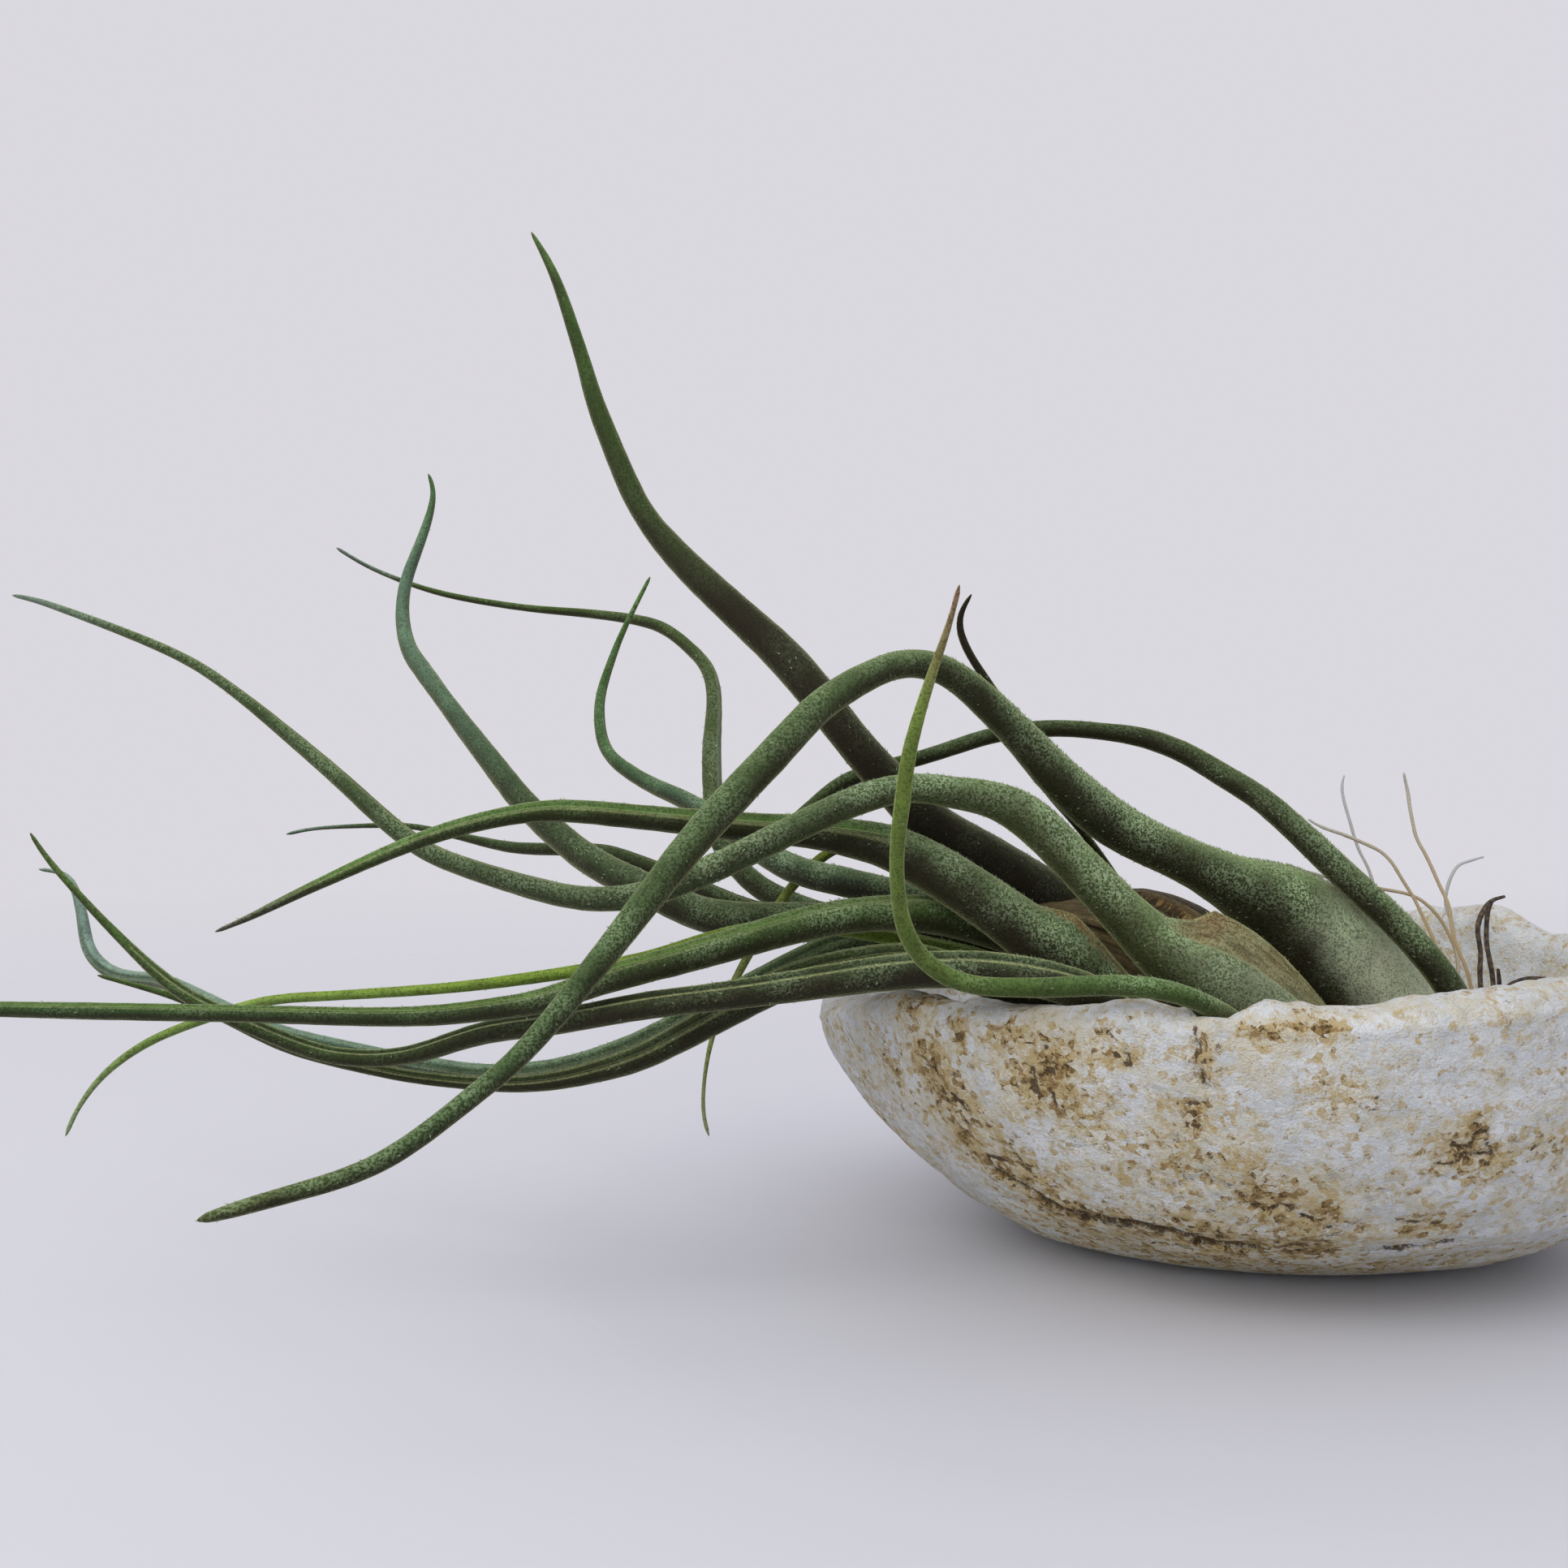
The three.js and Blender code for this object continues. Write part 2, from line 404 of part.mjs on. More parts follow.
function stemAndRoots() {
  return roots.reduce((body, [thickness, route]) => body.add(rootBody(thickness, route)), stemBody(0));
}

// A leaf of its full shape, wider by the clearance on every side.
function wholeLeaf(name, clearance = 0) {
  const [groove, turn] = grooves[name] ?? [0, 0];
  const stations = leafStations[name].map(([across, up, depth, width]) => {
    const scale = (eye.distance + depth) / eye.distance;
    return { point: placed(across, up, depth), radius: (width / 2) * scale + clearance };
  });
  const sides = Math.max(...stations.map((s) => s.radius)) > 4 ? 10 : 8;
  return sweptBody(stations, sides, 1.5, groove, turn);
}

// The leaf as it stands: its base ends on the stem, and on the older leaf that it comes out past.
function leafBody(name, stemSpace) {
  let leaf = wholeLeaf(name).subtract(stemSpace);
  if (name in olderLeaf) leaf = leaf.subtract(wholeLeaf(olderLeaf[name], gap));
  const pieces = leaf.decompose();
  return pieces.reduce((largest, piece) => (piece.volume() > largest.volume() ? piece : largest));
}

const airPlant = new THREE.Group();
airPlant.name = 'air_plant_in_bowl';
airPlant.add(meshOf('bowl', bowlBody(), 0xd9d4c8, 0.95));

const plant = new THREE.Group();
plant.add(meshOf('stem_and_roots', stemAndRoots(), 0x8a7350, 0.9));
const stemSpace = stemBody(gap);
for (const name of Object.keys(leafStations)) {
  plant.add(meshOf(name, leafBody(name, stemSpace), leafColours[name], 0.85));
}
airPlant.add(plant);

export default airPlant;
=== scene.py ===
import math
import bpy
import numpy as np
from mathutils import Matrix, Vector, noise


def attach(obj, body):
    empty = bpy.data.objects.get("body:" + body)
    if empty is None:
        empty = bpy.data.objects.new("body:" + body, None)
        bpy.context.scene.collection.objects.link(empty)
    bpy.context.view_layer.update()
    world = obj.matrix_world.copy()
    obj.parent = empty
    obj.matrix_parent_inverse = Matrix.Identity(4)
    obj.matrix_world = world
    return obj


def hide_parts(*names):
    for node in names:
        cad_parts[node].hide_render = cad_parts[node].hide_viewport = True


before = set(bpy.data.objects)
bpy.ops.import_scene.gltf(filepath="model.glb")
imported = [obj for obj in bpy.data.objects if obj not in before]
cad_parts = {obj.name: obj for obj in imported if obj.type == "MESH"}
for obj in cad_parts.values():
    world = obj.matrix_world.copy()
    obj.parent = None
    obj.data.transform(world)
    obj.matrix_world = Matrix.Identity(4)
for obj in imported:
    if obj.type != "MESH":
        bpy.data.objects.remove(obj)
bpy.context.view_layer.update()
print("frame loaded:", len(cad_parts), "nodes")

mm = 0.001
root = "root"

# The eye that the leaf and root places are seen from, in mm. The camera stands there too.
eye = {"x": -81.7, "height": 75.0, "distance": 287.0}


def scaleAt(depth):
    return (eye["distance"] + depth) / eye["distance"]


def placed(across, up, depth):  # a place seen at (across, up), depth mm behind the bowl's middle
    scale = scaleAt(depth)
    return (eye["x"] + (across - eye["x"]) * scale, depth, eye["height"] + (up - eye["height"]) * scale)


def colourOf(code):  # a colour as it looks on screen, as the linear values a shader takes
    parts = [int(code[i:i + 2], 16) / 255 for i in (1, 3, 5)]
    return tuple(p / 12.92 if p <= 0.04045 else ((p + 0.055) / 1.055) ** 2.4 for p in parts) + (1.0,)


# Helpers for node trees.
def node(tree, kind, inputs=None, **settings):
    made = tree.nodes.new(kind)
    for key, value in settings.items():
        setattr(made, key, value)
    for key, value in (inputs or {}).items():
        socket = made.inputs[key]
        if isinstance(value, bpy.types.NodeSocket):
            tree.links.new(value, socket)
        else:
            socket.default_value = value
    return made


def maths(tree, operation, first, second=0.0):
    return node(tree, "ShaderNodeMath", {0: first, 1: second}, operation=operation).outputs[0]


def blend(tree, share, first, second):  # share 0 gives the first colour, share 1 the second
    return node(tree, "ShaderNodeMix", {0: share, 6: first, 7: second}, data_type="RGBA").outputs[2]


def between(tree, value, low, high, toLow=0.0, toHigh=1.0):  # low..high stretched to toLow..toHigh
    made = node(tree, "ShaderNodeMapRange", {"Value": value, "From Min": low, "From Max": high,
                                             "To Min": toLow, "To Max": toHigh}, clamp=True)
    return made.outputs["Result"]


def speckle(tree, where, scale, detail=2.0, roughness=0.5, distortion=0.0):
    made = node(tree, "ShaderNodeTexNoise", {"Vector": where, "Scale": scale, "Detail": detail,
                                             "Roughness": roughness, "Distortion": distortion})
    return made.outputs["Fac"]


def attribute(tree, name, output="Fac"):
    return node(tree, "ShaderNodeAttribute", attribute_name=name).outputs[output]


def onSkin(tree, scale):  # the piece's own map, u round it and v along it, stretched for streaks
    flat = node(tree, "ShaderNodeUVMap", uv_map="UVMap").outputs[0]
    return node(tree, "ShaderNodeMapping", {"Vector": flat, "Scale": scale}).outputs[0]


def startMaterial(name, roughness):
    material = bpy.data.materials.new(name)
    material.use_nodes = True
    tree = material.node_tree
    tree.nodes.clear()
    shader = node(tree, "ShaderNodeBsdfPrincipled", {"Roughness": roughness})
    node(tree, "ShaderNodeOutputMaterial", {"Surface": shader.outputs[0]})
    place = node(tree, "ShaderNodeTexCoord").outputs["Object"]
    return material, tree, shader, place


def addBump(tree, shader, height, distance, strength=1.0):
    bump = node(tree, "ShaderNodeBump", {"Height": height, "Distance": distance, "Strength": strength})
    tree.links.new(bump.outputs["Normal"], shader.inputs["Normal"])


def addObject(data, material=None):
    made = bpy.data.objects.new(data.name, data)
    bpy.context.scene.collection.objects.link(made)
    if material:
        data.materials.append(material)
    return made


# The camera, the room, the one light and the floor. Places and sizes are in metres, and the lens in mm.
view = {
    "focalLength": 38.83, "sensorWidth": 36, "nearest": 0.01,
    "roomColour": "#eceaf1", "roomSeen": 0.84, "roomLight": 1.0,
    "keyPower": 5.0, "keyPlace": (-0.45, -0.6, 0.55), "keyTarget": (-0.06, -0.03, 0.05), "keySize": 0.9,
    "keyColour": (1.0, 0.97, 0.9),
    "floorSize": 12.0, "floorColour": "#c6c8d0", "floorRoughness": 0.55, "fadeFrom": 0.12, "fadeTo": 1.0,
}


def addCamera():
    cameraData = bpy.data.cameras.new("camera")
    cameraData.lens, cameraData.sensor_width = view["focalLength"], view["sensorWidth"]
    cameraData.clip_start = view["nearest"]
    camera = addObject(cameraData)
    camera.location = (eye["x"] * mm, -eye["distance"] * mm, eye["height"] * mm)
    camera.rotation_euler = (math.pi / 2, 0, 0)
    bpy.context.scene.camera = camera


def addRoom():
    world = bpy.data.worlds.new("paleRoom")
    world.use_nodes = True
    background = world.node_tree.nodes["Background"]
    background.inputs["Color"].default_value = colourOf(view["roomColour"])
    seen = node(world.node_tree, "ShaderNodeLightPath").outputs["Is Camera Ray"]
    strength = between(world.node_tree, seen, 0.0, 1.0, view["roomLight"], view["roomSeen"])
    world.node_tree.links.new(strength, background.inputs["Strength"])
    bpy.context.scene.world = world
    bpy.context.scene.view_settings.view_transform = "Standard"


def addKeyLight():
    lamp = bpy.data.lights.new("key", "AREA")
    lamp.shape, lamp.size = "DISK", view["keySize"]
    lamp.energy, lamp.color = view["keyPower"], view["keyColour"]
    holder = addObject(lamp)
    holder.location = view["keyPlace"]
    aim = Vector(view["keyTarget"]) - Vector(view["keyPlace"])
    holder.rotation_euler = aim.to_track_quat("-Z", "Y").to_euler()


def floorPaint():  # plain and pale, and it fades into the room far off
    paint, tree, shader, place = startMaterial("floorPaint", view["floorRoughness"])
    shader.inputs["Base Color"].default_value = colourOf(view["floorColour"])
    distance = node(tree, "ShaderNodeVectorMath", {0: place}, operation="LENGTH").outputs["Value"]
    gone = between(tree, distance, view["fadeFrom"], view["fadeTo"])
    clear = node(tree, "ShaderNodeBsdfTransparent").outputs[0]
    mix = node(tree, "ShaderNodeMixShader", {0: maths(tree, "SQRT", gone), 1: shader.outputs[0], 2: clear})
    tree.links.new(mix.outputs[0], tree.nodes["Material Output"].inputs["Surface"])
    return paint


def addFloor():
    half = view["floorSize"] / 2
    corners = [(-half, -half, 0), (half, -half, 0), (half, half, 0), (-half, half, 0)]
    mesh = bpy.data.meshes.new("floor")
    mesh.from_pydata(corners, [], [(0, 1, 2, 3)])
    addObject(mesh, floorPaint())


addCamera()
addRoom()
addKeyLight()
addFloor()
print("stage: camera, room, one soft light, floor")


# Smooth routes and swept skins. Lines and rings are in mm, and meshes in metres.
def throughPoints(points, perStretch=12):  # a smooth line through given points, any number of columns
    points = np.array(points, float)
    guides = np.vstack([2 * points[0] - points[1], points, 2 * points[-1] - points[-2]])
    t = np.linspace(0, 1, perStretch, endpoint=False)[:, None]
    line = []
    for a, b, c, d in zip(guides, guides[1:], guides[2:], guides[3:]):
        line.append(0.5 * (2 * b + (c - a) * t + (2 * a - 5 * b + 4 * c - d) * t ** 2
                           + (3 * b - a - 3 * c + d) * t ** 3))
    return np.vstack(line + [points[-1:]])


def arcLength(line):
    return np.concatenate([[0], np.cumsum(np.linalg.norm(np.diff(line[:, :3], axis=0), axis=1))])


def evenly(line, step):  # the same line with its points one step apart
    arc = arcLength(line)
    marks = np.linspace(0, arc[-1], max(4, round(arc[-1] / step) + 1))
    return np.column_stack([np.interp(marks, arc, column) for column in line.T])


def eased(line, reach):  # takes the small wobbles out of a line, ends kept; reach in points
    size = int(3 * reach)
    weights = np.exp(-0.5 * (np.arange(-size, size + 1) / reach) ** 2)
    weights /= weights.sum()
    before = 2 * line[0] - line[size:0:-1]
    after = 2 * line[-1] - line[-2:-size - 2:-1]
    padded = np.vstack([before, line, after])
    return np.column_stack([np.convolve(column, weights, "valid") for column in padded.T])


def framesAlong(line, turn=0.0):  # tangent, upper side and sideways at each point
    along = np.gradient(line[:, :3], axis=0)
    along /= np.linalg.norm(along, axis=1)[:, None]
    upper = np.zeros_like(along)
    side = np.array([0.0, 0.0, 1.0])
    for i, direction in enumerate(along):
        side = side - direction * side.dot(direction)
        side /= np.linalg.norm(side)
        if i == 0:
            angle = math.radians(turn)
            side = side * math.cos(angle) + np.cross(direction, side) * math.sin(angle)
        upper[i] = side
    return along, upper, np.cross(along, upper)


def ringAngles(sides):
    return np.arange(sides) / sides * 2 * math.pi


def wrapped(angle):  # the same angle, between minus and plus half a turn
    return (angle + math.pi) % (2 * math.pi) - math.pi


def spokesAround(upper, sideways, around):  # directions from the line out to each point of its rings
    return upper[:, None] * np.cos(around)[None, :, None] + sideways[:, None] * np.sin(around)[None, :, None]


def skinMesh(name, rings, closedStart, closedEnd):  # rings: (count, sides, 3), and the two end points
    count, sides = rings.shape[:2]
    points = rings.reshape(-1, 3).tolist() + [list(closedStart), list(closedEnd)]
    start, end, last = count * sides, count * sides + 1, (count - 1) * sides
    faces = []
    for here in range(0, last, sides):
        for j in range(sides):
            k = (j + 1) % sides
            faces.append((here + j, here + k, here + sides + k, here + sides + j))
    faces += [(start, (j + 1) % sides, j) for j in range(sides)]
    faces += [(end, last + j, last + (j + 1) % sides) for j in range(sides)]
    mesh = bpy.data.meshes.new(name)
    mesh.from_pydata([(x * mm, y * mm, z * mm) for x, y, z in points], [], faces)
    mesh.polygons.foreach_set("use_smooth", [True] * len(mesh.polygons))
    return mesh


def toPoints(values):  # one value for each point of a skin: its rings, then the two end points
    flat = values.reshape(-1, *values.shape[2:])
    return np.concatenate([flat, [flat[0], flat[-1]]]).astype(float)


def setAttribute(mesh, name, values, kind="FLOAT"):
    made = mesh.attributes.new(name, kind, "POINT")
    field = {"FLOAT": "value", "FLOAT_VECTOR": "vector", "FLOAT_COLOR": "color"}[kind]
    made.data.foreach_set(field, toPoints(values).ravel())


def setTint(mesh, tint):
    setAttribute(mesh, "tint", np.dstack([tint, np.ones(tint.shape[:2])]), "FLOAT_COLOR")


def loopPoints(mesh):  # which point each corner of a face uses
    loops = np.zeros(len(mesh.loops), int)
    mesh.loops.foreach_get("vertex_index", loops)
    return loops


def setMap(mesh, values):
    layer = mesh.uv_layers.new(name="UVMap")
    layer.data.foreach_set("uv", toPoints(values)[loopPoints(mesh)].ravel())


def unwrap(mesh, count, sides, across, lengthwise):  # u round the skin, v along it, in mm
    loops = loopPoints(mesh)
    values = np.zeros((len(loops), 2))
    ring, column = np.divmod(loops, sides)
    inside = ring < count
    # the last face of each ring ends on the first points of the ring, one whole turn further on
    seam = (np.arange(len(loops)) % (sides * 4) >= (sides - 1) * 4) & (column == 0)
    seam[(count - 1) * sides * 4:] = False  # the faces of the two ends have no seam
    values[:, 0] = np.where(seam, sides, column) * (across / sides)
    values[:, 1] = np.where(inside, lengthwise[np.minimum(ring, count - 1)], lengthwise[-1])
    mesh.uv_layers.new(name="UVMap").data.foreach_set("uv", values.ravel())


def noiseAt(points, size, seed):  # smooth noise -1..1 at each point, its features about size mm
    shift = Vector((seed * 17.3, seed * 5.1, seed * 9.7))
    flat = np.array([noise.noise(Vector(p) / size + shift) for p in points.reshape(-1, 3)])
    return flat.reshape(points.shape[:-1])


def fade(value, low, high):  # 0 at low, 1 at high, and no further
    return np.clip((value - low) / (high - low), 0, 1)


def tinted(tint, code, share):  # the tints drawn towards one colour
    return tint + (np.array(colourOf(code)[:3]) - tint) * np.clip(share, 0, 1)[..., None]


# The leaves. Stations run from root to tip: across, up, depth and width in mm, as placed() reads them.
# turn: how far the channel is turned from the upper side at the root, in degrees.
# channel: its depth as a share of the radius, its half width in radians, and where it starts and ends.
# line: how plain the pale lines beside the channel are. inner: the colour inside it.
# frost: how thick the pale scales lie. pale: how pale the right side of the bulb is, from its pale sheath and
# from painted light.
# shade: how dark the painted shade on the underside is. sheath: how far the dry margin stands out, its angle,
# where it ends.
# colours: from root to tip, with the dry or pale end of the tip last.
leaves = {
    "leaf_high_arch": {
        "turn": -20, "channel": [0.08, 0.3, 0.25, 0.95], "line": 0, "inner": "#4f6138", "frost": 1.0,
        "pale": 1.0, "shade": 0.9,
        "colours": ["#2d2917", "#3d4626", "#455a30", "#314d24", "#4d562a"],
        "stations": [
            [20, 9, -19, 6.9], [20.5, 18.5, -22, 14.9], [20.5, 29, -25, 20.6], [17.2, 37.2, -27, 22.2],
            [10, 47, -28, 20], [2.8, 53.7, -29, 15.8], [-5.5, 58, -32, 10], [-13.5, 62, -35, 7.7],
            [-20, 65, -36, 7.8], [-27, 69, -38, 8], [-34.5, 75.5, -41, 7.4], [-41, 82.5, -44, 6.2],
            [-48, 89.5, -47, 5.6], [-54.5, 94.5, -50, 5], [-62, 95.5, -54, 4.8], [-69, 92.5, -58, 5.1],
            [-76, 88, -62, 5.5], [-82.5, 81, -66, 5.9], [-96.5, 66, -74, 5.9], [-111, 47.5, -84, 4.8],
            [-125, 30.5, -93, 3.9], [-134, 22.5, -98, 3.6], [-150.5, 10.5, -106, 3.4],
            [-169, 4.5, -111, 2.9], [-177.5, 2, -112, 2.5], [-181, 1, -112, 1.5]],
    },
    "leaf_long_wave": {
        "turn": -15, "channel": [0.1, 0.3, 0.25, 0.95], "line": 0, "inner": "#4f6138", "frost": 0.95,
        "sheath": [6.8, -22, 0.212], "pale": 0.5, "shade": 0.45,
        "colours": ["#6f714e", "#566239", "#35432a", "#314a22", "#7d938a"],
        "stations": [
            [17, 10.5, -26, 6.9], [12.5, 17.5, -32, 11.8], [7.5, 26, -38, 15.4], [0, 34.5, -42, 16],
            [-7.5, 41, -45, 14.3], [-14.5, 44.5, -46, 11.8], [-19.5, 48.5, -46, 9.4], [-25, 54, -46, 8],
            [-35.5, 65, -46, 7.4], [-41, 70, -46, 7.6], [-46, 72.5, -46, 6.3], [-52.5, 73.5, -47, 5.6],
            [-59, 74.5, -48, 5.1], [-66, 73.5, -49, 5.2], [-77, 69, -51, 5.2], [-91, 62, -54, 5],
            [-104.5, 56.5, -55, 4.7], [-113, 55.5, -53, 4.4], [-121, 56.5, -50, 4.1],
            [-137.5, 61.5, -42, 3.4], [-146, 66, -38, 3.3], [-159.5, 78, -31, 2.8], [-176, 91.5, -22, 1.9],
            [-187, 98, -16, 1.7], [-206.5, 105.5, -6, 1.1], [-212.5, 107, -3, 0.6]],
    },
    "leaf_grooved": {
        "turn": -60, "channel": [0.4, 0.42, 0.42, 0.98], "line": 1.0, "inner": "#5f8440", "frost": 0.7,
        "sheath": [2.6, -30, 0.34], "pale": 0.2,
        "colours": ["#4a4029", "#282a12", "#2c3516", "#5d803f", "#75656a"],
        "stations": [
            [4, 12, -25, 6.1], [-15, 26.5, -37, 9.1], [-24, 34, -41, 9.6], [-31, 40.5, -43, 9.9],
            [-36.5, 46.5, -45, 10.3], [-44, 52.5, -45, 9.2], [-52, 58, -44, 8.9], [-60.5, 63, -42, 8.3],
            [-66, 65, -42, 7.4], [-71.5, 66, -42, 6.5], [-77, 67, -42, 5.8], [-85.5, 67.5, -43, 5.2],
            [-102, 69, -47, 4.4], [-118.5, 70.5, -51, 4], [-126.5, 70, -53, 3.4], [-137.5, 67.5, -55, 3],
            [-148.5, 63.5, -55, 2.6], [-165, 56, -55, 1.7], [-172, 52.5, -55, 1.2], [-178, 50, -55, 0.6]],
    },
    "leaf_upright": {
        "turn": 30, "channel": [0.1, 0.25, 0.1, 0.95], "line": 0, "inner": "#32401f", "frost": 0.12,
        "colours": ["#1e140b", "#20170c", "#23200f", "#3f6224", "#5d8243"],
        "stations": [
            [-12.5, 36.5, -26, 9.6], [-25, 45.5, -27, 11.6], [-36, 54, -29, 11], [-46.5, 61, -31, 9.9],
            [-56.5, 67.5, -34, 8.5], [-61.5, 73, -36, 7.4], [-65.5, 77, -37, 6.7], [-71, 83.5, -38, 6.3],
            [-77.5, 92, -37, 6.5], [-83, 98, -35, 6.3], [-89, 103.5, -33, 5.8], [-95, 109, -31, 5.4],
            [-100.5, 114.5, -28, 4.8], [-105, 120, -26, 4], [-108, 125.5, -24, 3.9], [-113.5, 139, -20, 3.2],
            [-116, 147.5, -18, 2.5], [-120.5, 161, -15, 1.7], [-124.5, 168.5, -13, 0.6]],
    },
    "leaf_right_arch": {
        "turn": -30, "channel": [0.26, 0.3, 0.22, 0.62], "line": 0.2, "inner": "#5b7a2e", "frost": 0.5,
        "pale": 0.4,
        "colours": ["#28301a", "#272f14", "#2b3717", "#37491f", "#496826"],
        "stations": [
            [22, 9, -24, 3.3], [28.5, 16.5, -31, 4.7], [33, 26.5, -37, 5.2], [33.5, 34.5, -40, 5.2],
            [32, 39.5, -41, 5.1], [28, 45, -40, 5], [22, 51.5, -37, 5], [15, 58, -34, 5],
            [0.5, 71.5, -26, 4.3], [-6.5, 76, -22, 4], [-14, 80.5, -19, 3.7], [-21, 83, -17, 3.4],
            [-28.5, 84, -17, 2.9], [-35.5, 84.5, -17, 2.9], [-45.5, 83.5, -18, 2.8], [-56.5, 80, -20, 2.6],
            [-70.5, 76, -23, 2.6], [-75, 73, -25, 2.3], [-81, 68, -27, 1.9], [-88, 63.5, -29, 1.2],
            [-93, 61, -30, 0.6]],
    },
    "leaf_level": {
        "turn": -25, "channel": [0.14, 0.3, 0.08, 0.9], "line": 0.35, "inner": "#5f8034", "frost": 0.6,
        # its dark first colour is painted shadow where the grooved leaf shades its root
        "colours": ["#2c2a16", "#466519", "#324723", "#3b6631", "#4f7d40"],
        "stations": [
            [-11, 27.5, -25, 7.7], [-20.5, 35, -28, 8.3], [-30.5, 42.5, -32, 8], [-40, 48.5, -35, 7.6],
            [-49.5, 51.5, -37, 7], [-58, 53, -40, 6.5], [-66, 53, -44, 6.1], [-77, 51.5, -49, 5.9],
            [-96.5, 46, -56, 5.2], [-113, 41.5, -61, 4.7], [-121, 38.5, -62, 4.3], [-129.5, 37, -62, 3.9],
            [-146, 35.5, -62, 3.4], [-173.5, 36, -61, 3], [-201, 36.5, -60, 2.9], [-228.5, 37, -59, 2.3],
            [-241, 36.5, -58, 1.5], [-249.5, 36, -57, 0.6]],
    },
    "leaf_low": {
        "turn": -42, "channel": [0.3, 0.3, 0.06, 0.93], "line": 0.9, "inner": "#232a18", "frost": 0.42,
        "colours": ["#2f2a20", "#2a2717", "#2d351c", "#426428", "#577a36"],
        "stations": [
            [4, 12.5, -29, 5], [0, 16, -33, 5.5], [-7, 23, -41, 6.1], [-16.5, 31, -48, 6.3],
            [-25.5, 37.5, -49, 6.6], [-31.5, 40, -52, 6.9], [-38, 42, -55, 6.6], [-49.5, 43.5, -56, 6.5],
            [-63.5, 43, -56, 6.2], [-88, 39.5, -58, 5.1], [-104.5, 37.5, -59, 4.7], [-121, 34.5, -58, 4.3],
            [-132, 33, -56, 4], [-143, 29.5, -53, 3.3], [-148.5, 28.5, -52, 3], [-155.5, 28.5, -51, 3],
            [-162.5, 30, -50, 2.9], [-173.5, 34.5, -48, 2.8], [-184.5, 40, -45, 2.5], [-195.5, 50, -42, 1.5],
            [-206.5, 62, -40, 1], [-209.5, 66.5, -40, 0.6]],
    },
    "leaf_over_rim": {
        "turn": -20, "channel": [0.1, 0.35, 0.1, 0.9], "line": 0, "inner": "#54782e", "frost": 0.6,
        "shade": 0.45,
        "colours": ["#243218", "#273819", "#47632a", "#8aa648", "#b48c78"],
        "stations": [
            [18, 10, -25, 2.8], [15.5, 11, -38, 3.3], [10.5, 16.5, -46, 3.6], [4, 25, -52, 3.7],
            [-2, 32, -57, 3.7], [-7, 36, -63, 3.7], [-10, 37.5, -69, 3.7], [-14, 39.5, -70, 3.7],
            [-19.5, 40.5, -68, 3.9], [-26, 41, -66, 3.7], [-36, 40.5, -65, 3.6], [-44, 40.5, -64, 3.4],
            [-51, 41, -64, 3.3], [-55.5, 43, -65, 3.3], [-59, 46, -66, 3.2], [-61, 49.5, -68, 3],
            [-62, 53, -69, 2.8], [-62.5, 58, -71, 2.5], [-62.5, 65, -74, 2.6], [-61.5, 72.5, -77, 2.8],
            [-60.5, 80.5, -80, 2.5], [-57, 92.5, -84, 1.8], [-53.5, 102.5, -88, 1.1], [-52, 108.5, -90, 0.6]],
    },
    "leaf_back_curl": {
        "turn": 40, "channel": [0.26, 0.32, 0.1, 0.75], "line": 0.7, "inner": "#3b4826", "frost": 0.32,
        "colours": ["#2a2015", "#22260f", "#283d1c", "#6d8f76", "#4f7d42"],
        "stations": [
            [-22, 42, -25, 6.6], [-31.5, 45.5, -19, 7.2], [-40.5, 47.5, -14, 7.4], [-49.5, 49, -13, 7.3],
            [-63.5, 51, -16, 7], [-77, 51.5, -19, 6.9], [-91, 52, -19, 6.3], [-97.5, 53.5, -17, 5.8],
            [-104.5, 57, -14, 5.5], [-114.5, 62, -7, 5.2], [-124, 70, 3, 4.7], [-129.5, 76.5, 10, 4.3],
            [-139.5, 89.5, 25, 3.3], [-143.5, 95, 31, 3.2], [-145.5, 98, 34, 2.8], [-146.5, 103.5, 39, 2.3],
            [-146, 109, 42, 2.1], [-144, 114.5, 44, 1.8], [-142, 120, 46, 1.4], [-141, 125, 48, 0.8],
            [-142, 127.5, 49, 0.6]],
    },
    "leaf_hooked": {
        "turn": 20, "channel": [0.26, 0.34, 0.2, 0.9], "line": 0.3, "inner": "#7f9479", "frost": 0.4,
        "colours": ["#222a15", "#2d381c", "#3a4b20", "#476425", "#8a9a9a"],
        "stations": [
            [-23.5, 38.5, -22, 4.7], [-33, 42, -12, 4.8], [-42.5, 44.5, -6, 4.8], [-52.5, 47.5, -5, 4.8],
            [-69, 51.5, -4, 4.5], [-75.5, 53, -3, 4.4], [-82, 55.5, -1, 4.4], [-86.5, 58, 1, 4.1],
            [-90, 61.5, 3, 3.9], [-92.5, 65, 6, 3.6], [-93.5, 69, 9, 3.4], [-94, 80, 18, 3.3],
            [-93.5, 89.5, 27, 2.6], [-94.5, 94.5, 32, 2.5], [-97, 97.5, 36, 2.3], [-102, 101.5, 41, 2.1],
            [-107.5, 103, 45, 1.8], [-115.5, 104, 50, 1.5], [-126.5, 105, 54, 1.2], [-140.5, 107.5, 59, 1],
            [-151.5, 111.5, 63, 0.7], [-157.5, 115, 65, 0.6]],
    },
    "leaf_short_curl": {
        "turn": 30, "channel": [0.18, 0.3, 0.1, 0.9], "line": 0.2, "inner": "#4c6a44", "frost": 0.6,
        "colours": ["#291f16", "#28321f", "#3f5f4a", "#447030", "#56803a"],
        "stations": [
            [-22.5, 44, -26, 5.8], [-30.5, 47, -23, 5.9], [-38.5, 49.5, -22, 6.1], [-49.5, 52.5, -23, 5.8],
            [-59, 55.5, -23, 5.4], [-66, 57, -23, 5.2], [-71.5, 58.5, -22, 5.2], [-77, 59.5, -19, 5],
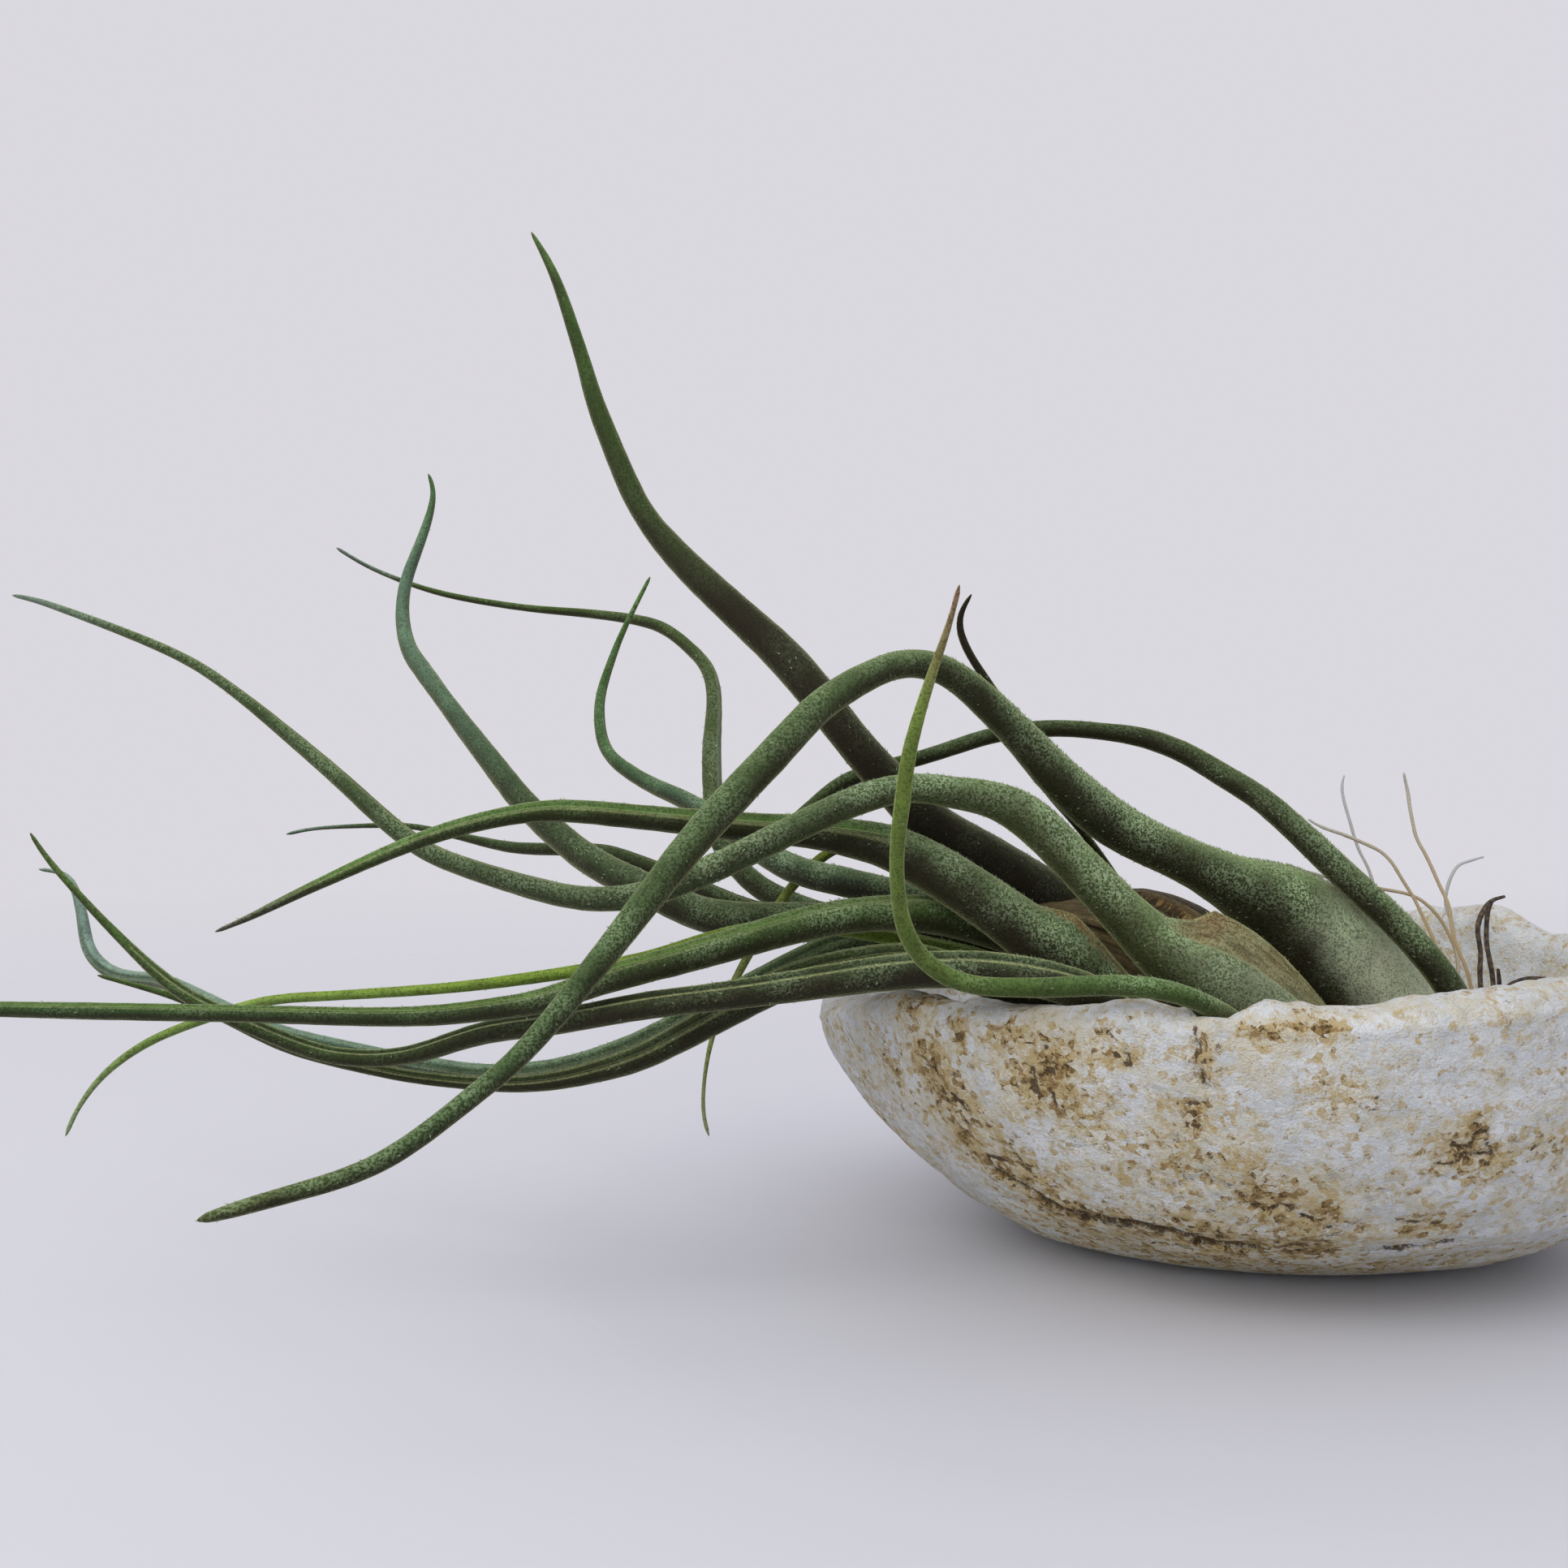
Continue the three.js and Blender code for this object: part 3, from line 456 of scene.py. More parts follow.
            [-82, 61.5, -16, 4.8], [-89, 66, -9, 4.1], [-97, 71.5, 1, 3.3], [-104.5, 75, 10, 2.8],
            [-108.5, 77.5, 15, 2.6], [-111, 79.5, 18, 2.3], [-112.5, 82, 21, 2.1], [-113, 85.5, 24, 1.9],
            [-113, 89.5, 27, 1.7], [-111.5, 94.5, 30, 1.4], [-109, 101, 35, 1], [-104.5, 110, 40, 0.6]],
    },
    "leaf_fine": {
        "turn": 0, "channel": [0.2, 0.34, 0.1, 0.9], "line": 0, "inner": "#3a4a26", "frost": 0.4,
        "colours": ["#252d18", "#2b361c", "#324420", "#375228", "#7f9a8f"],
        "stations": [
            [-25, 37.5, -18, 3.3], [-36, 40, -2, 3.4], [-45.5, 44, 3, 3.4], [-53.5, 46.5, 5, 3.3],
            [-74.5, 51.5, 6, 3.2], [-82.5, 53, 6, 3], [-89, 54.5, 6, 2.9], [-100.5, 59.5, 8, 2.8],
            [-106, 61.5, 10, 2.8], [-111.5, 63.5, 12, 2.6], [-118.5, 64, 16, 2.3], [-124, 64, 19, 2.2],
            [-129.5, 64.5, 22, 1.9], [-140.5, 67, 28, 1.2], [-147, 68, 31, 1], [-161, 67.5, 36, 0.6],
            [-166, 66.5, 37, 0.6]],
    },
    "leaf_dark_tip": {
        "turn": 0, "channel": [0.12, 0.4, 0.1, 0.9], "line": 0, "inner": "#4b5f22", "frost": 0.25,
        "colours": ["#33391b", "#43521a", "#4a5c1a", "#1e140e", "#140d09"],
        "stations": [
            [-15, 43.5, -24, 2.3], [-20, 50.5, -23, 2.3], [-24, 56.5, -23, 2.1], [-28.5, 63.5, -26, 1.5],
            [-31.5, 67.5, -28, 1.4], [-34.5, 71, -31, 1.5], [-38, 75.5, -33, 1.8], [-45, 89, -36, 1.7],
            [-50, 96.5, -37, 1.4], [-51.5, 99.5, -38, 1.4], [-52.5, 102, -38, 1.2], [-52, 104.5, -39, 1],
            [-50, 107, -40, 0.6]],
    },
    "leaf_far": {
        "turn": -30, "channel": [0.26, 0.34, 0.1, 0.95], "line": 0.5, "inner": "#3a4a2a", "frost": 0.3,
        "colours": ["#38461f", "#445423", "#6b8d7c", "#84a298", "#8ca89c"],
        "stations": [
            [-23.5, 36.5, -30, 5.2], [-31.5, 37.5, -26, 5.5], [-40, 40, -24, 5.6], [-49.5, 44, -25, 5.5],
            [-58, 46.5, -27, 5.4], [-63.5, 48, -29, 5.2], [-71.5, 48, -32, 4.8], [-77, 46, -34, 4.5],
            [-84, 42.5, -35, 4.4], [-96.5, 36, -34, 4.1], [-107.5, 30.5, -31, 3.9], [-118.5, 27, -27, 3.6],
            [-126.5, 26, -24, 3.4], [-135, 26, -20, 3.3], [-151.5, 29, -11, 3], [-168, 33, 0, 2.9],
            [-181.5, 39, 12, 2.9], [-187, 41.5, 17, 2.6], [-192.5, 42, 22, 2.5], [-196, 43, 25, 2.3],
            [-198.5, 45, 27, 2.3], [-200, 47.5, 29, 2.2], [-201, 54, 33, 1.8], [-202.5, 58.5, 35, 1.2],
            [-203.5, 60, 36, 0.8], [-208, 60.5, 37, 0.6]],
    },
    "leaf_sagging": {
        "turn": -34, "channel": [0.3, 0.34, 0.1, 0.95], "line": 0.9, "inner": "#2c331a", "frost": 0.25,
        "colours": ["#323b15", "#3a4417", "#293510", "#345019", "#456827"],
        "stations": [
            [-20.5, 34.5, -36, 5], [-30.5, 36.5, -34, 5.5], [-38.5, 39, -37, 5.8], [-47, 41.5, -40, 5.8],
            [-58, 45, -43, 5.8], [-66, 45, -45, 5.6], [-74.5, 43.5, -46, 5.6], [-80, 42, -47, 5.5],
            [-91, 36.5, -49, 5.4], [-102, 30.5, -48, 4.8], [-107.5, 28, -47, 4.4], [-118.5, 25, -45, 3.4],
            [-128, 24, -43, 2.8], [-137.5, 24.5, -41, 2.3], [-148.5, 26, -39, 2.2], [-165, 30, -36, 2.1],
            [-176, 35, -34, 1.7], [-181.5, 37.5, -33, 1.4], [-187, 39.5, -32, 1.1], [-198, 42.5, -30, 0.6]],
    },
    "leaf_lime": {
        "turn": -20, "channel": [0.14, 0.4, 0.1, 0.95], "line": 0, "inner": "#7f9c2e", "frost": 0.25,
        "shade": 0.45,
        "colours": ["#5f7424", "#7b9630", "#82a338", "#84a552", "#9db384"],
        "stations": [
            [-23.5, 40, -32, 2.8], [-31.5, 41, -30, 2.9], [-40, 43, -29, 2.9], [-49.5, 46, -31, 2.8],
            [-59, 48, -34, 2.8], [-71.5, 50.5, -38, 2.8], [-82.5, 51, -42, 2.6], [-93.5, 49, -46, 2.5],
            [-104.5, 45.5, -49, 2.5], [-118.5, 43, -51, 2.2], [-137.5, 40.5, -53, 1.9],
            [-159.5, 39, -53, 1.7], [-168, 38.5, -53, 1.7], [-176, 36.5, -52, 1.7], [-187, 32.5, -52, 1.5],
            [-192.5, 29.5, -52, 1.4], [-198, 25, -52, 1.1], [-202.5, 18.5, -52, 0.7],
            [-203.5, 15.5, -52, 0.6]],
    },
    "leaf_hanging": {
        "turn": 0, "channel": [0.1, 0.4, 0.1, 0.95], "line": 0, "inner": "#5a6a26", "frost": 0.25,
        "shade": 0.45,
        "colours": ["#262b14", "#3a4318", "#6d7f22", "#9eab66", "#b4b88c"],
        "stations": [
            [-25.5, 45, -20, 1.9], [-34.5, 48, -11, 2.1], [-45.5, 54, -9, 1.9], [-56.5, 61, -9, 1.8],
            [-65.5, 64.5, -10, 1.8], [-71, 65, -11, 1.8], [-75.5, 62.5, -12, 1.8], [-80.5, 57.5, -12, 1.7],
            [-84.5, 51.5, -13, 1.7], [-88, 45.5, -14, 1.5], [-92.5, 36.5, -16, 1.1], [-95, 27, -18, 0.7],
            [-95.5, 18, -19, 0.6], [-94.5, 15.5, -19, 0.6]],
    },
}

leafSkin = {
    "step": 0.8, "sides": 44, "easing": 3.0, "thinnest": 0.32, "tipPast": 0.25, "tipLength": 1.2,
    "crowding": 0.75,  # how far the points of a ring draw in towards the channel
    "channelFade": 0.07,  # the share of the leaf over which a channel begins and ends
    "lineAt": 1.5, "lineWidth": 0.055, "lineRise": 0.03, "line": "#a9b07a",
    "bumpSize": 2.2, "bumpHeight": 0.06, "lobeSize": 9.0, "lobeHeight": 0.02,
    "wanderSize": 5.0, "fuzzSize": 1.1, "grainDepth": 0.25 * mm,
    "marginWidths": (0.6, 0.13), "slimming": 0.42, "broadSheath": 5.0,
    "colourStops": (0.0, 0.16, 0.55, 0.9, 1.0),
    "mottle": "#1d1a10", "mottleShare": 0.4, "paintedShade": "#1f170c", "undersideShadeFrom": (0.72, -0.3),
    "topFrostAndLight": "#87a56f", "topFrostAndLightFrom": (0.1, 0.85), "topFrostAndLightShare": 0.65,
    "paleSheathAndLight": "#e2eacb", "paleToward": (0.9, -0.3, 0.3), "paleFrom": (-0.12, 0.38), "paleEnds": (0.21, 0.1),
    "bulbShadeFrom": (-0.3, 0.2), "bulbShadeEnds": (0.34, 0.2), "bulbShadeShare": 0.8,
    "innerShare": 0.8, "innerFull": 0.15,  # a channel this deep takes its inner colour in full
    "sheath": "#96906a", "sheathShare": 0.9, "margin": "#8c7046", "streak": "#3d2d18", "streakShare": 0.6,
    "sheen": 0.9, "sheenRoughness": 0.3, "sheenTint": "#c0c890", "gloss": 0.12,
}

# Frost is the small pale scales, and down is the finer pale grain that is only painted on.
frost = {
    "perSquareMetre": 6.5e6, "length": 0.46 * mm, "width": 0.1 * mm, "thickness": 0.05 * mm,
    "sizes": (0.55, 1.25), "lift": (0.3, 1.3), "swing": 0.9, "gloss": 0.3,
    "patch": 6.0, "lit": (0.12, 0.88), "litFrom": (-0.45, 0.75), "colour": "#adc29c", "bloom": "#587240",
    "bloomShare": 0.32, "grain": 3000.0, "grainFrom": (0.47, 0.57), "grainShare": 0.8,
    "pore": "#12170b", "poreShare": 0.45,
    "outerPart": (0.32, 0.58),  # from here to there along a leaf the frost thins out
    "thinner": {"frost": 0.92, "down": 0.66, "topFrostAndLight": 0.8},
}


def leafMaterial():
    material, tree, shader, place = startMaterial("leafSkin", 0.6)
    tint = attribute(tree, "tint", "Color")
    down = attribute(tree, "down")
    mottle = between(tree, speckle(tree, place, 300, 5, 0.65), 0.3, 0.7)
    darker = blend(tree, leafSkin["mottleShare"], tint, colourOf(leafSkin["mottle"]))
    colour = blend(tree, mottle, darker, tint)
    bloom = maths(tree, "MULTIPLY", down, frost["bloomShare"])
    colour = blend(tree, bloom, colour, colourOf(frost["bloom"]))
    grain = blend(tree, 0.3, speckle(tree, place, frost["grain"], 3, 0.6), speckle(tree, place, 1500, 3, 0.6))
    pores = between(tree, grain, 0.5, 0.4, 0.0, frost["poreShare"])
    colour = blend(tree, pores, colour, colourOf(frost["pore"]))
    scales = between(tree, grain, *frost["grainFrom"], 0.0, frost["grainShare"])
    colour = blend(tree, maths(tree, "MULTIPLY", scales, down), colour, colourOf(frost["colour"]))
    strands = speckle(tree, onSkin(tree, (2.6, 0.14, 1.0)), 1.0, 4, 0.7)
    streaks = between(tree, strands, 0.54, 0.4, 0.0, leafSkin["streakShare"])
    streaks = maths(tree, "MULTIPLY", streaks, attribute(tree, "dry"))
    colour = blend(tree, streaks, colour, colourOf(leafSkin["streak"]))
    tree.links.new(colour, shader.inputs["Base Color"])
    ridges = speckle(tree, onSkin(tree, (2.2, 0.12, 1.0)), 1.0, 3.0)
    addBump(tree, shader, maths(tree, "ADD", maths(tree, "MULTIPLY", ridges, 0.6), grain),
            leafSkin["grainDepth"], 0.9)
    shader.inputs["Specular IOR Level"].default_value = leafSkin["gloss"]
    shader.inputs["Sheen Weight"].default_value = leafSkin["sheen"]
    shader.inputs["Sheen Roughness"].default_value = leafSkin["sheenRoughness"]
    shader.inputs["Sheen Tint"].default_value = colourOf(leafSkin["sheenTint"])
    return material


def frostMaterial():
    material, tree, shader, place = startMaterial("leafFrost", 0.6)
    tone = between(tree, speckle(tree, place, 900, 2), 0.35, 0.65, 0.2, 0.65)
    colour = blend(tree, tone, attribute(tree, "tint", "Color"), colourOf(frost["colour"]))
    tree.links.new(colour, shader.inputs["Base Color"])
    shader.inputs["Specular IOR Level"].default_value = frost["gloss"]
    return material


def frostTree(skinMaterial, scaleMaterial):  # scatters small flat scales over a skin, as its frost says
    tree = bpy.data.node_groups.new("frostScales", "GeometryNodeTree")
    face = tree.interface
    face.new_socket("Geometry", in_out="INPUT", socket_type="NodeSocketGeometry")
    for name in ("Density", "Length", "Width", "Thickness", "Swing"):
        face.new_socket(name, in_out="INPUT", socket_type="NodeSocketFloat")
    face.new_socket("Seed", in_out="INPUT", socket_type="NodeSocketInt")
    face.new_socket("Geometry", in_out="OUTPUT", socket_type="NodeSocketGeometry")
    given = node(tree, "NodeGroupInput").outputs

    def fromMesh(name, kind):
        return node(tree, "GeometryNodeInputNamedAttribute", {"Name": name}, data_type=kind).outputs[0]

    def randomFloat(low, high, seed):  # inputs 2, 3 and 8 are the lowest, the highest and the seed
        return node(tree, "FunctionNodeRandomValue", {2: low, 3: high, 8: seed}, data_type="FLOAT").outputs[1]

    def vectorMaths(operation, first, second):
        return node(tree, "ShaderNodeVectorMath", {0: first, 1: second}, operation=operation).outputs[0]

    def scaled(vector, factor):
        return node(tree, "ShaderNodeVectorMath", {0: vector, 3: factor}, operation="SCALE").outputs[0]

    density = maths(tree, "MULTIPLY", fromMesh("frost", "FLOAT"), given["Density"])
    points = node(tree, "GeometryNodeDistributePointsOnFaces", {
        "Mesh": given["Geometry"], "Seed": given["Seed"], "Density": density}, distribute_method="RANDOM")
    normal, grain = points.outputs["Normal"], fromMesh("grain", "FLOAT_VECTOR")
    sideways = vectorMaths("CROSS_PRODUCT", normal, grain)
    swing = maths(tree, "MULTIPLY", given["Swing"], randomFloat(-1.0, 1.0, 3))
    heading = vectorMaths("ADD", grain, scaled(sideways, swing))
    heading = vectorMaths("ADD", heading, scaled(normal, randomFloat(*frost["lift"], 5)))
    lying = node(tree, "FunctionNodeAlignRotationToVector", {"Vector": heading}, axis="Z").outputs[0]
    flat = node(tree, "FunctionNodeAlignRotationToVector", {"Rotation": lying, "Vector": normal},
                axis="Y", pivot_axis="Z").outputs[0]
    size = node(tree, "ShaderNodeCombineXYZ", {0: given["Width"], 1: given["Thickness"],
                                               2: given["Length"]}).outputs[0]
    size = scaled(size, randomFloat(*frost["sizes"], 7))
    flake = node(tree, "GeometryNodeMeshCone", {"Vertices": 3, "Radius Top": 0.0, "Radius Bottom": 1.0,
                                                "Depth": 1.0}, fill_type="NGON").outputs["Mesh"]
    flakes = node(tree, "GeometryNodeInstanceOnPoints", {
        "Points": points.outputs["Points"], "Instance": flake, "Rotation": flat, "Scale": size}).outputs[0]
    whole = node(tree, "GeometryNodeRealizeInstances", {"Geometry": flakes}).outputs[0]
    painted = node(tree, "GeometryNodeSetMaterial", {"Geometry": whole, "Material": scaleMaterial}).outputs[0]
    skin = node(tree, "GeometryNodeSetMaterial", {"Geometry": given["Geometry"],
                                                  "Material": skinMaterial}).outputs[0]
    both = node(tree, "GeometryNodeJoinGeometry")
    tree.links.new(skin, both.inputs[0])
    tree.links.new(painted, both.inputs[0])
    tree.links.new(both.outputs[0], node(tree, "NodeGroupOutput").inputs[0])
    return tree


def withNodes(piece, tree, values):  # runs a node tree on a piece and keeps the plain mesh it makes
    modifier = piece.modifiers.new("nodes", "NODES")
    modifier.node_group = tree
    for item in tree.interface.items_tree:
        if item.item_type == "SOCKET" and item.in_out == "INPUT" and item.name in values:
            modifier[item.identifier] = values[item.name]
    ready = piece.evaluated_get(bpy.context.evaluated_depsgraph_get())
    mesh = bpy.data.meshes.new_from_object(ready)
    piece.modifiers.remove(modifier)
    old = piece.data
    piece.data = mesh
    bpy.data.meshes.remove(old)
    mesh.name = piece.name


def leafLine(leaf):  # the middle line of a leaf, with its half width as the fourth column
    stations = []
    for across, up, depth, width in leaf["stations"]:
        stations.append([*placed(across, up, depth), width / 2 * scaleAt(depth)])
    return eased(evenly(throughPoints(stations), leafSkin["step"]), leafSkin["easing"])


def leafForm(leaf, seed):  # the rings of a leaf, and where its channel, pale lines and dry sheath lie
    line = leafLine(leaf)
    arc = arcLength(line)
    share = arc / arc[-1]
    along, upper, sideways = framesAlong(line, leaf["turn"])
    around = ringAngles(leafSkin["sides"])
    around = around - leafSkin["crowding"] * np.sin(around)
    depth, width, start, end = leaf["channel"]
    taper = leafSkin["channelFade"]
    ends = fade(share, start, start + taper) * fade(share, end, end - taper)
    hollow = np.exp(-(wrapped(around) / width) ** 2) * ends[:, None]  # 1 at the bottom of the channel
    fromLine = np.abs(wrapped(around)) - leafSkin["lineAt"] * width
    ridge = np.exp(-(fromLine / leafSkin["lineWidth"]) ** 2) * leaf["line"]
    ridge = ridge * (hollow.max(axis=1) > 0.5)[:, None]

    # The dry sheath: how full it is along the leaf, how its margin stands out, and how the leaf draws in
    # beside a broad one.
    flare, angle, until = leaf.get("sheath", (0, 0, 0.01))
    wing = (fade(share, until, until - 0.025) * (0.4 + 0.6 * share / until))[:, None] * (flare > 0)
    away = wrapped(around - math.radians(angle - leaf["turn"]))
    front, back = leafSkin["marginWidths"]
    margin = wing * np.exp(-np.abs(away) / np.where(away < 0, front, back))
    slim = np.minimum(wing * 2, 1) * fade(away, -1.0, -0.7) * fade(away, 1.9, 1.2)
    slim = slim * (flare > leafSkin["broadSheath"])

    radius = np.maximum(line[:, 3], leafSkin["thinnest"])
    toTip = (arc[-1] + leafSkin["tipPast"] - arc) / leafSkin["tipLength"]
    radius = radius * np.clip(toTip, 0, 1) ** 0.5
    reach = 1 - depth * hollow + leafSkin["lineRise"] * ridge - leafSkin["slimming"] * slim
    reach = radius[:, None] * reach + flare * margin
    spokes = spokesAround(upper, sideways, around)
    bare = line[:, None, :3] + reach[..., None] * spokes
    relief = leafSkin["lobeHeight"] * noiseAt(bare, leafSkin["lobeSize"], seed) * radius[:, None]
    bumps = leafSkin["bumpHeight"] * noiseAt(bare, leafSkin["bumpSize"], seed + 20)
    relief = relief + bumps * np.minimum(radius / 2, 1)[:, None]
    return {"line": line, "along": along, "arc": arc, "share": share, "spokes": spokes, "bare": bare,
            "rings": bare + spokes * relief[..., None], "girth": 2 * math.pi * float(radius.mean()),
            "hollow": hollow, "ridge": ridge, "wing": wing, "away": away, "flare": flare, "until": until}


def leafLook(leaf, seed, form):  # the tint of each point, and how dry, frosted and downy it is
    bare, share, spokes, away = form["bare"], form["share"], form["spokes"], form["away"]
    wander = noiseAt(bare, leafSkin["wanderSize"], seed + 60)  # keeps the borders from running straight
    fuzz = noiseAt(bare, leafSkin["fuzzSize"], seed + 80)
    upward = spokes[..., 2]
    toPale = spokes @ np.array(leafSkin["paleToward"])
    outer = fade(share, *frost["outerPart"])[:, None]  # 0 near the bulb, 1 on the outer part
    ramp = np.array([colourOf(code)[:3] for code in leaf["colours"]])
    tint = np.column_stack([np.interp(share, leafSkin["colourStops"], ramp[:, k]) for k in range(3)])
    tint = np.repeat(tint[:, None], leafSkin["sides"], axis=1)

    # painted shade: the underside is darkened as if the light came from above
    undersideShade = fade(upward + 0.3 * wander, *leafSkin["undersideShadeFrom"])
    tint = tinted(tint, leafSkin["paintedShade"], leaf.get("shade", 0.85) * undersideShade)
    # the upper side is lightened, partly for its thicker frost and partly as painted light from above
    topFrostAndLightMask = fade(upward + 0.25 * wander, *leafSkin["topFrostAndLightFrom"]) * (1 - frost["thinner"]["topFrostAndLight"] * outer)
    tint = tinted(tint, leafSkin["topFrostAndLight"], leafSkin["topFrostAndLightShare"] * leaf["frost"] * topFrostAndLightMask)
    # the pale right side of the bulb: its own pale sheath colour, lifted further by painted light from the
    # right
    pale = fade(toPale + 0.25 * wander, *leafSkin["paleFrom"]) * fade(share, *leafSkin["paleEnds"])[:, None]
    pale = pale * leaf.get("pale", 0)
    tint = tinted(tint, leafSkin["paleSheathAndLight"], pale)
    # painted shade on the lower left of the bulb, where the sheath beside it shades it
    bulbShade = fade(0.25 * wander - toPale, *leafSkin["bulbShadeFrom"]) * fade(share, *leafSkin["bulbShadeEnds"])[:, None]
    tint = tinted(tint, leafSkin["paintedShade"], leafSkin["bulbShadeShare"] * bulbShade * leaf.get("pale", 0))
    deep = leafSkin["innerShare"] * min(1, leaf["channel"][0] / leafSkin["innerFull"])
    tint = tinted(tint, leaf["inner"], deep * form["hollow"])
    tint = tinted(tint, leafSkin["line"], form["ridge"])

    reachRound = 0.15 * form["flare"] + 0.15 * fuzz  # how far round the dry part goes, in radians
    dry = np.minimum(form["wing"] * 2, 1) * fade(away, -reachRound, 0.25 - reachRound) * fade(away, 0.5, 0.2)
    tint = tinted(tint, leafSkin["sheath"], leafSkin["sheathShare"] * dry)
    rim = fade(np.abs(away), 0.45, 0.05)
    rim = rim + fade(share, form["until"] - 0.05, form["until"] - 0.01)[:, None]
    rim = np.clip(rim, 0, 1) * np.clip(0.75 + wander + fuzz, 0, 1)
    tint = tinted(tint, leafSkin["margin"], dry * rim)

    patches = noiseAt(bare, frost["patch"], seed + 40)
    low, more = frost["lit"]
    lit = low + more * fade(upward + 0.25 * wander, *frost["litFrom"])  # the upper side has more of it, and this also paints in light from above
    frosted = leaf["frost"] * np.clip(0.6 + 1.2 * patches + 0.4 * wander, 0.15, 1)
    frosted = frosted * (1 - 0.6 * form["hollow"]) * lit * (1 - 0.5 * dry)
    frosted = frosted * (1 - 0.7 * pale) * (1 - 0.6 * bulbShade)
    levels = {"dry": dry}
    for name in ("frost", "down"):
        levels[name] = np.clip(frosted * (1 - frost["thinner"][name] * outer), 0, 1)
    return tint, levels


def leafPiece(name, leaf, tree, seed):
    form = leafForm(leaf, seed)
    tint, levels = leafLook(leaf, seed, form)
    line, along, sides = form["line"], form["along"], leafSkin["sides"]
    mesh = skinMesh(name.replace("leaf_", "") + "_leaf", form["rings"], line[0, :3],
                    line[-1, :3] + along[-1] * 0.3)
    unwrap(mesh, len(line), sides, form["girth"], form["arc"])
    setTint(mesh, tint)
    for level, values in levels.items():
        setAttribute(mesh, level, values)
    setAttribute(mesh, "grain", np.repeat(along[:, None], sides, axis=1), "FLOAT_VECTOR")
    piece = addObject(mesh)
    withNodes(piece, tree, {"Density": frost["perSquareMetre"], "Length": frost["length"],
                            "Width": frost["width"], "Thickness": frost["thickness"],
                            "Swing": frost["swing"], "Seed": seed})
    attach(piece, root)
    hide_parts(name)


leafTree = frostTree(leafMaterial(), frostMaterial())
for seed, (name, leaf) in enumerate(leaves.items(), 1):
    leafPiece(name, leaf, leafTree, seed)
print(len(leaves), "leaves")


# The stem with its dry sheaths. Stations run from the foot up: x, y, z and radius in mm.
stem = {
    "stations": [[15, -20, 9.3, 6], [15, -20, 14, 8], [7, -21, 21.5, 11], [-2, -22, 29, 13.5],
                 [-14, -25, 37, 15], [-27, -29, 46, 15], [-37, -31, 51.5, 11.5], [-46, -33, 55.5, 6.5],
                 [-51, -34, 58, 1.5]],
    "step": 0.45, "sides": 300, "easing": 4, "inset": 0.9, "thinnest": 0.6, "footInset": 0.4,
    "layer": 0.7, "swell": 1.3, "swellWidth": 9.0, "edgeWidth": 0.3, "ragged": 0.12, "fibreHeight": 0.2,
    # each sheath: where its margin closes (mm along), its middle (degrees round), half width (degrees)
    "sheaths": [[72, 20, 105], [66, 200, 110], [60, -70, 100], [52, 110, 95], [44, -20, 90],
                [36, 170, 85], [27, 60, 80], [18, -110, 75]],
    # dark is the painted shade on the stem's front; olive and tan are its own colours
    "dark": "#80694a", "olive": "#6f6f47", "tan": "#ad9763", "tanFrom": 44.0, "tanFull": 50.5,
    "tones": [1.0, 0.72, 1.3, 0.85], "rim": "#a88650", "rimWidth": 0.8,
    "creviceShadowWidth": 1.1, "creviceShade": 0.75,  # painted shade in the crease beside each margin
    "blotch": "#3c3a24", "streak": "#1a110a", "streakShare": 0.65, "fuzz": "#8f9372",
    "threadDepth": 0.4 * mm,
}


def stemMaterial():
    material, tree, shader, place = startMaterial("drySheath", 0.7)
    lines = onSkin(tree, (17.0, 0.04, 1.0))
    threads = blend(tree, 0.6, speckle(tree, lines, 1.0, 5, 0.7), speckle(tree, lines, 0.3, 3, 0.6))
    stripes = between(tree, threads, 0.42, 0.58)
    blotch = between(tree, speckle(tree, place, 260, 5, 0.7), 0.4, 0.65, 0.0, 0.5)
    colour = blend(tree, blotch, attribute(tree, "tint", "Color"), colourOf(stem["blotch"]))
    streaked = blend(tree, stem["streakShare"], colour, colourOf(stem["streak"]))
    colour = blend(tree, maths(tree, "MULTIPLY", stripes, 0.9), streaked, colour)
    fuzz = between(tree, speckle(tree, place, 1700, 4, 0.7), 0.52, 0.62, 0.0, 0.5)
    colour = blend(tree, maths(tree, "MULTIPLY", fuzz, blotch), colour, colourOf(stem["fuzz"]))
    worn = between(tree, speckle(tree, place, 900, 3, 0.7), 0.4, 0.6, 0.3, 0.9)
    worn = maths(tree, "MULTIPLY", attribute(tree, "edge"), worn)
    colour = blend(tree, worn, colour, colourOf(stem["rim"]))
    tree.links.new(colour, shader.inputs["Base Color"])
    addBump(tree, shader, maths(tree, "ADD", stripes, fuzz), stem["threadDepth"])
    return material


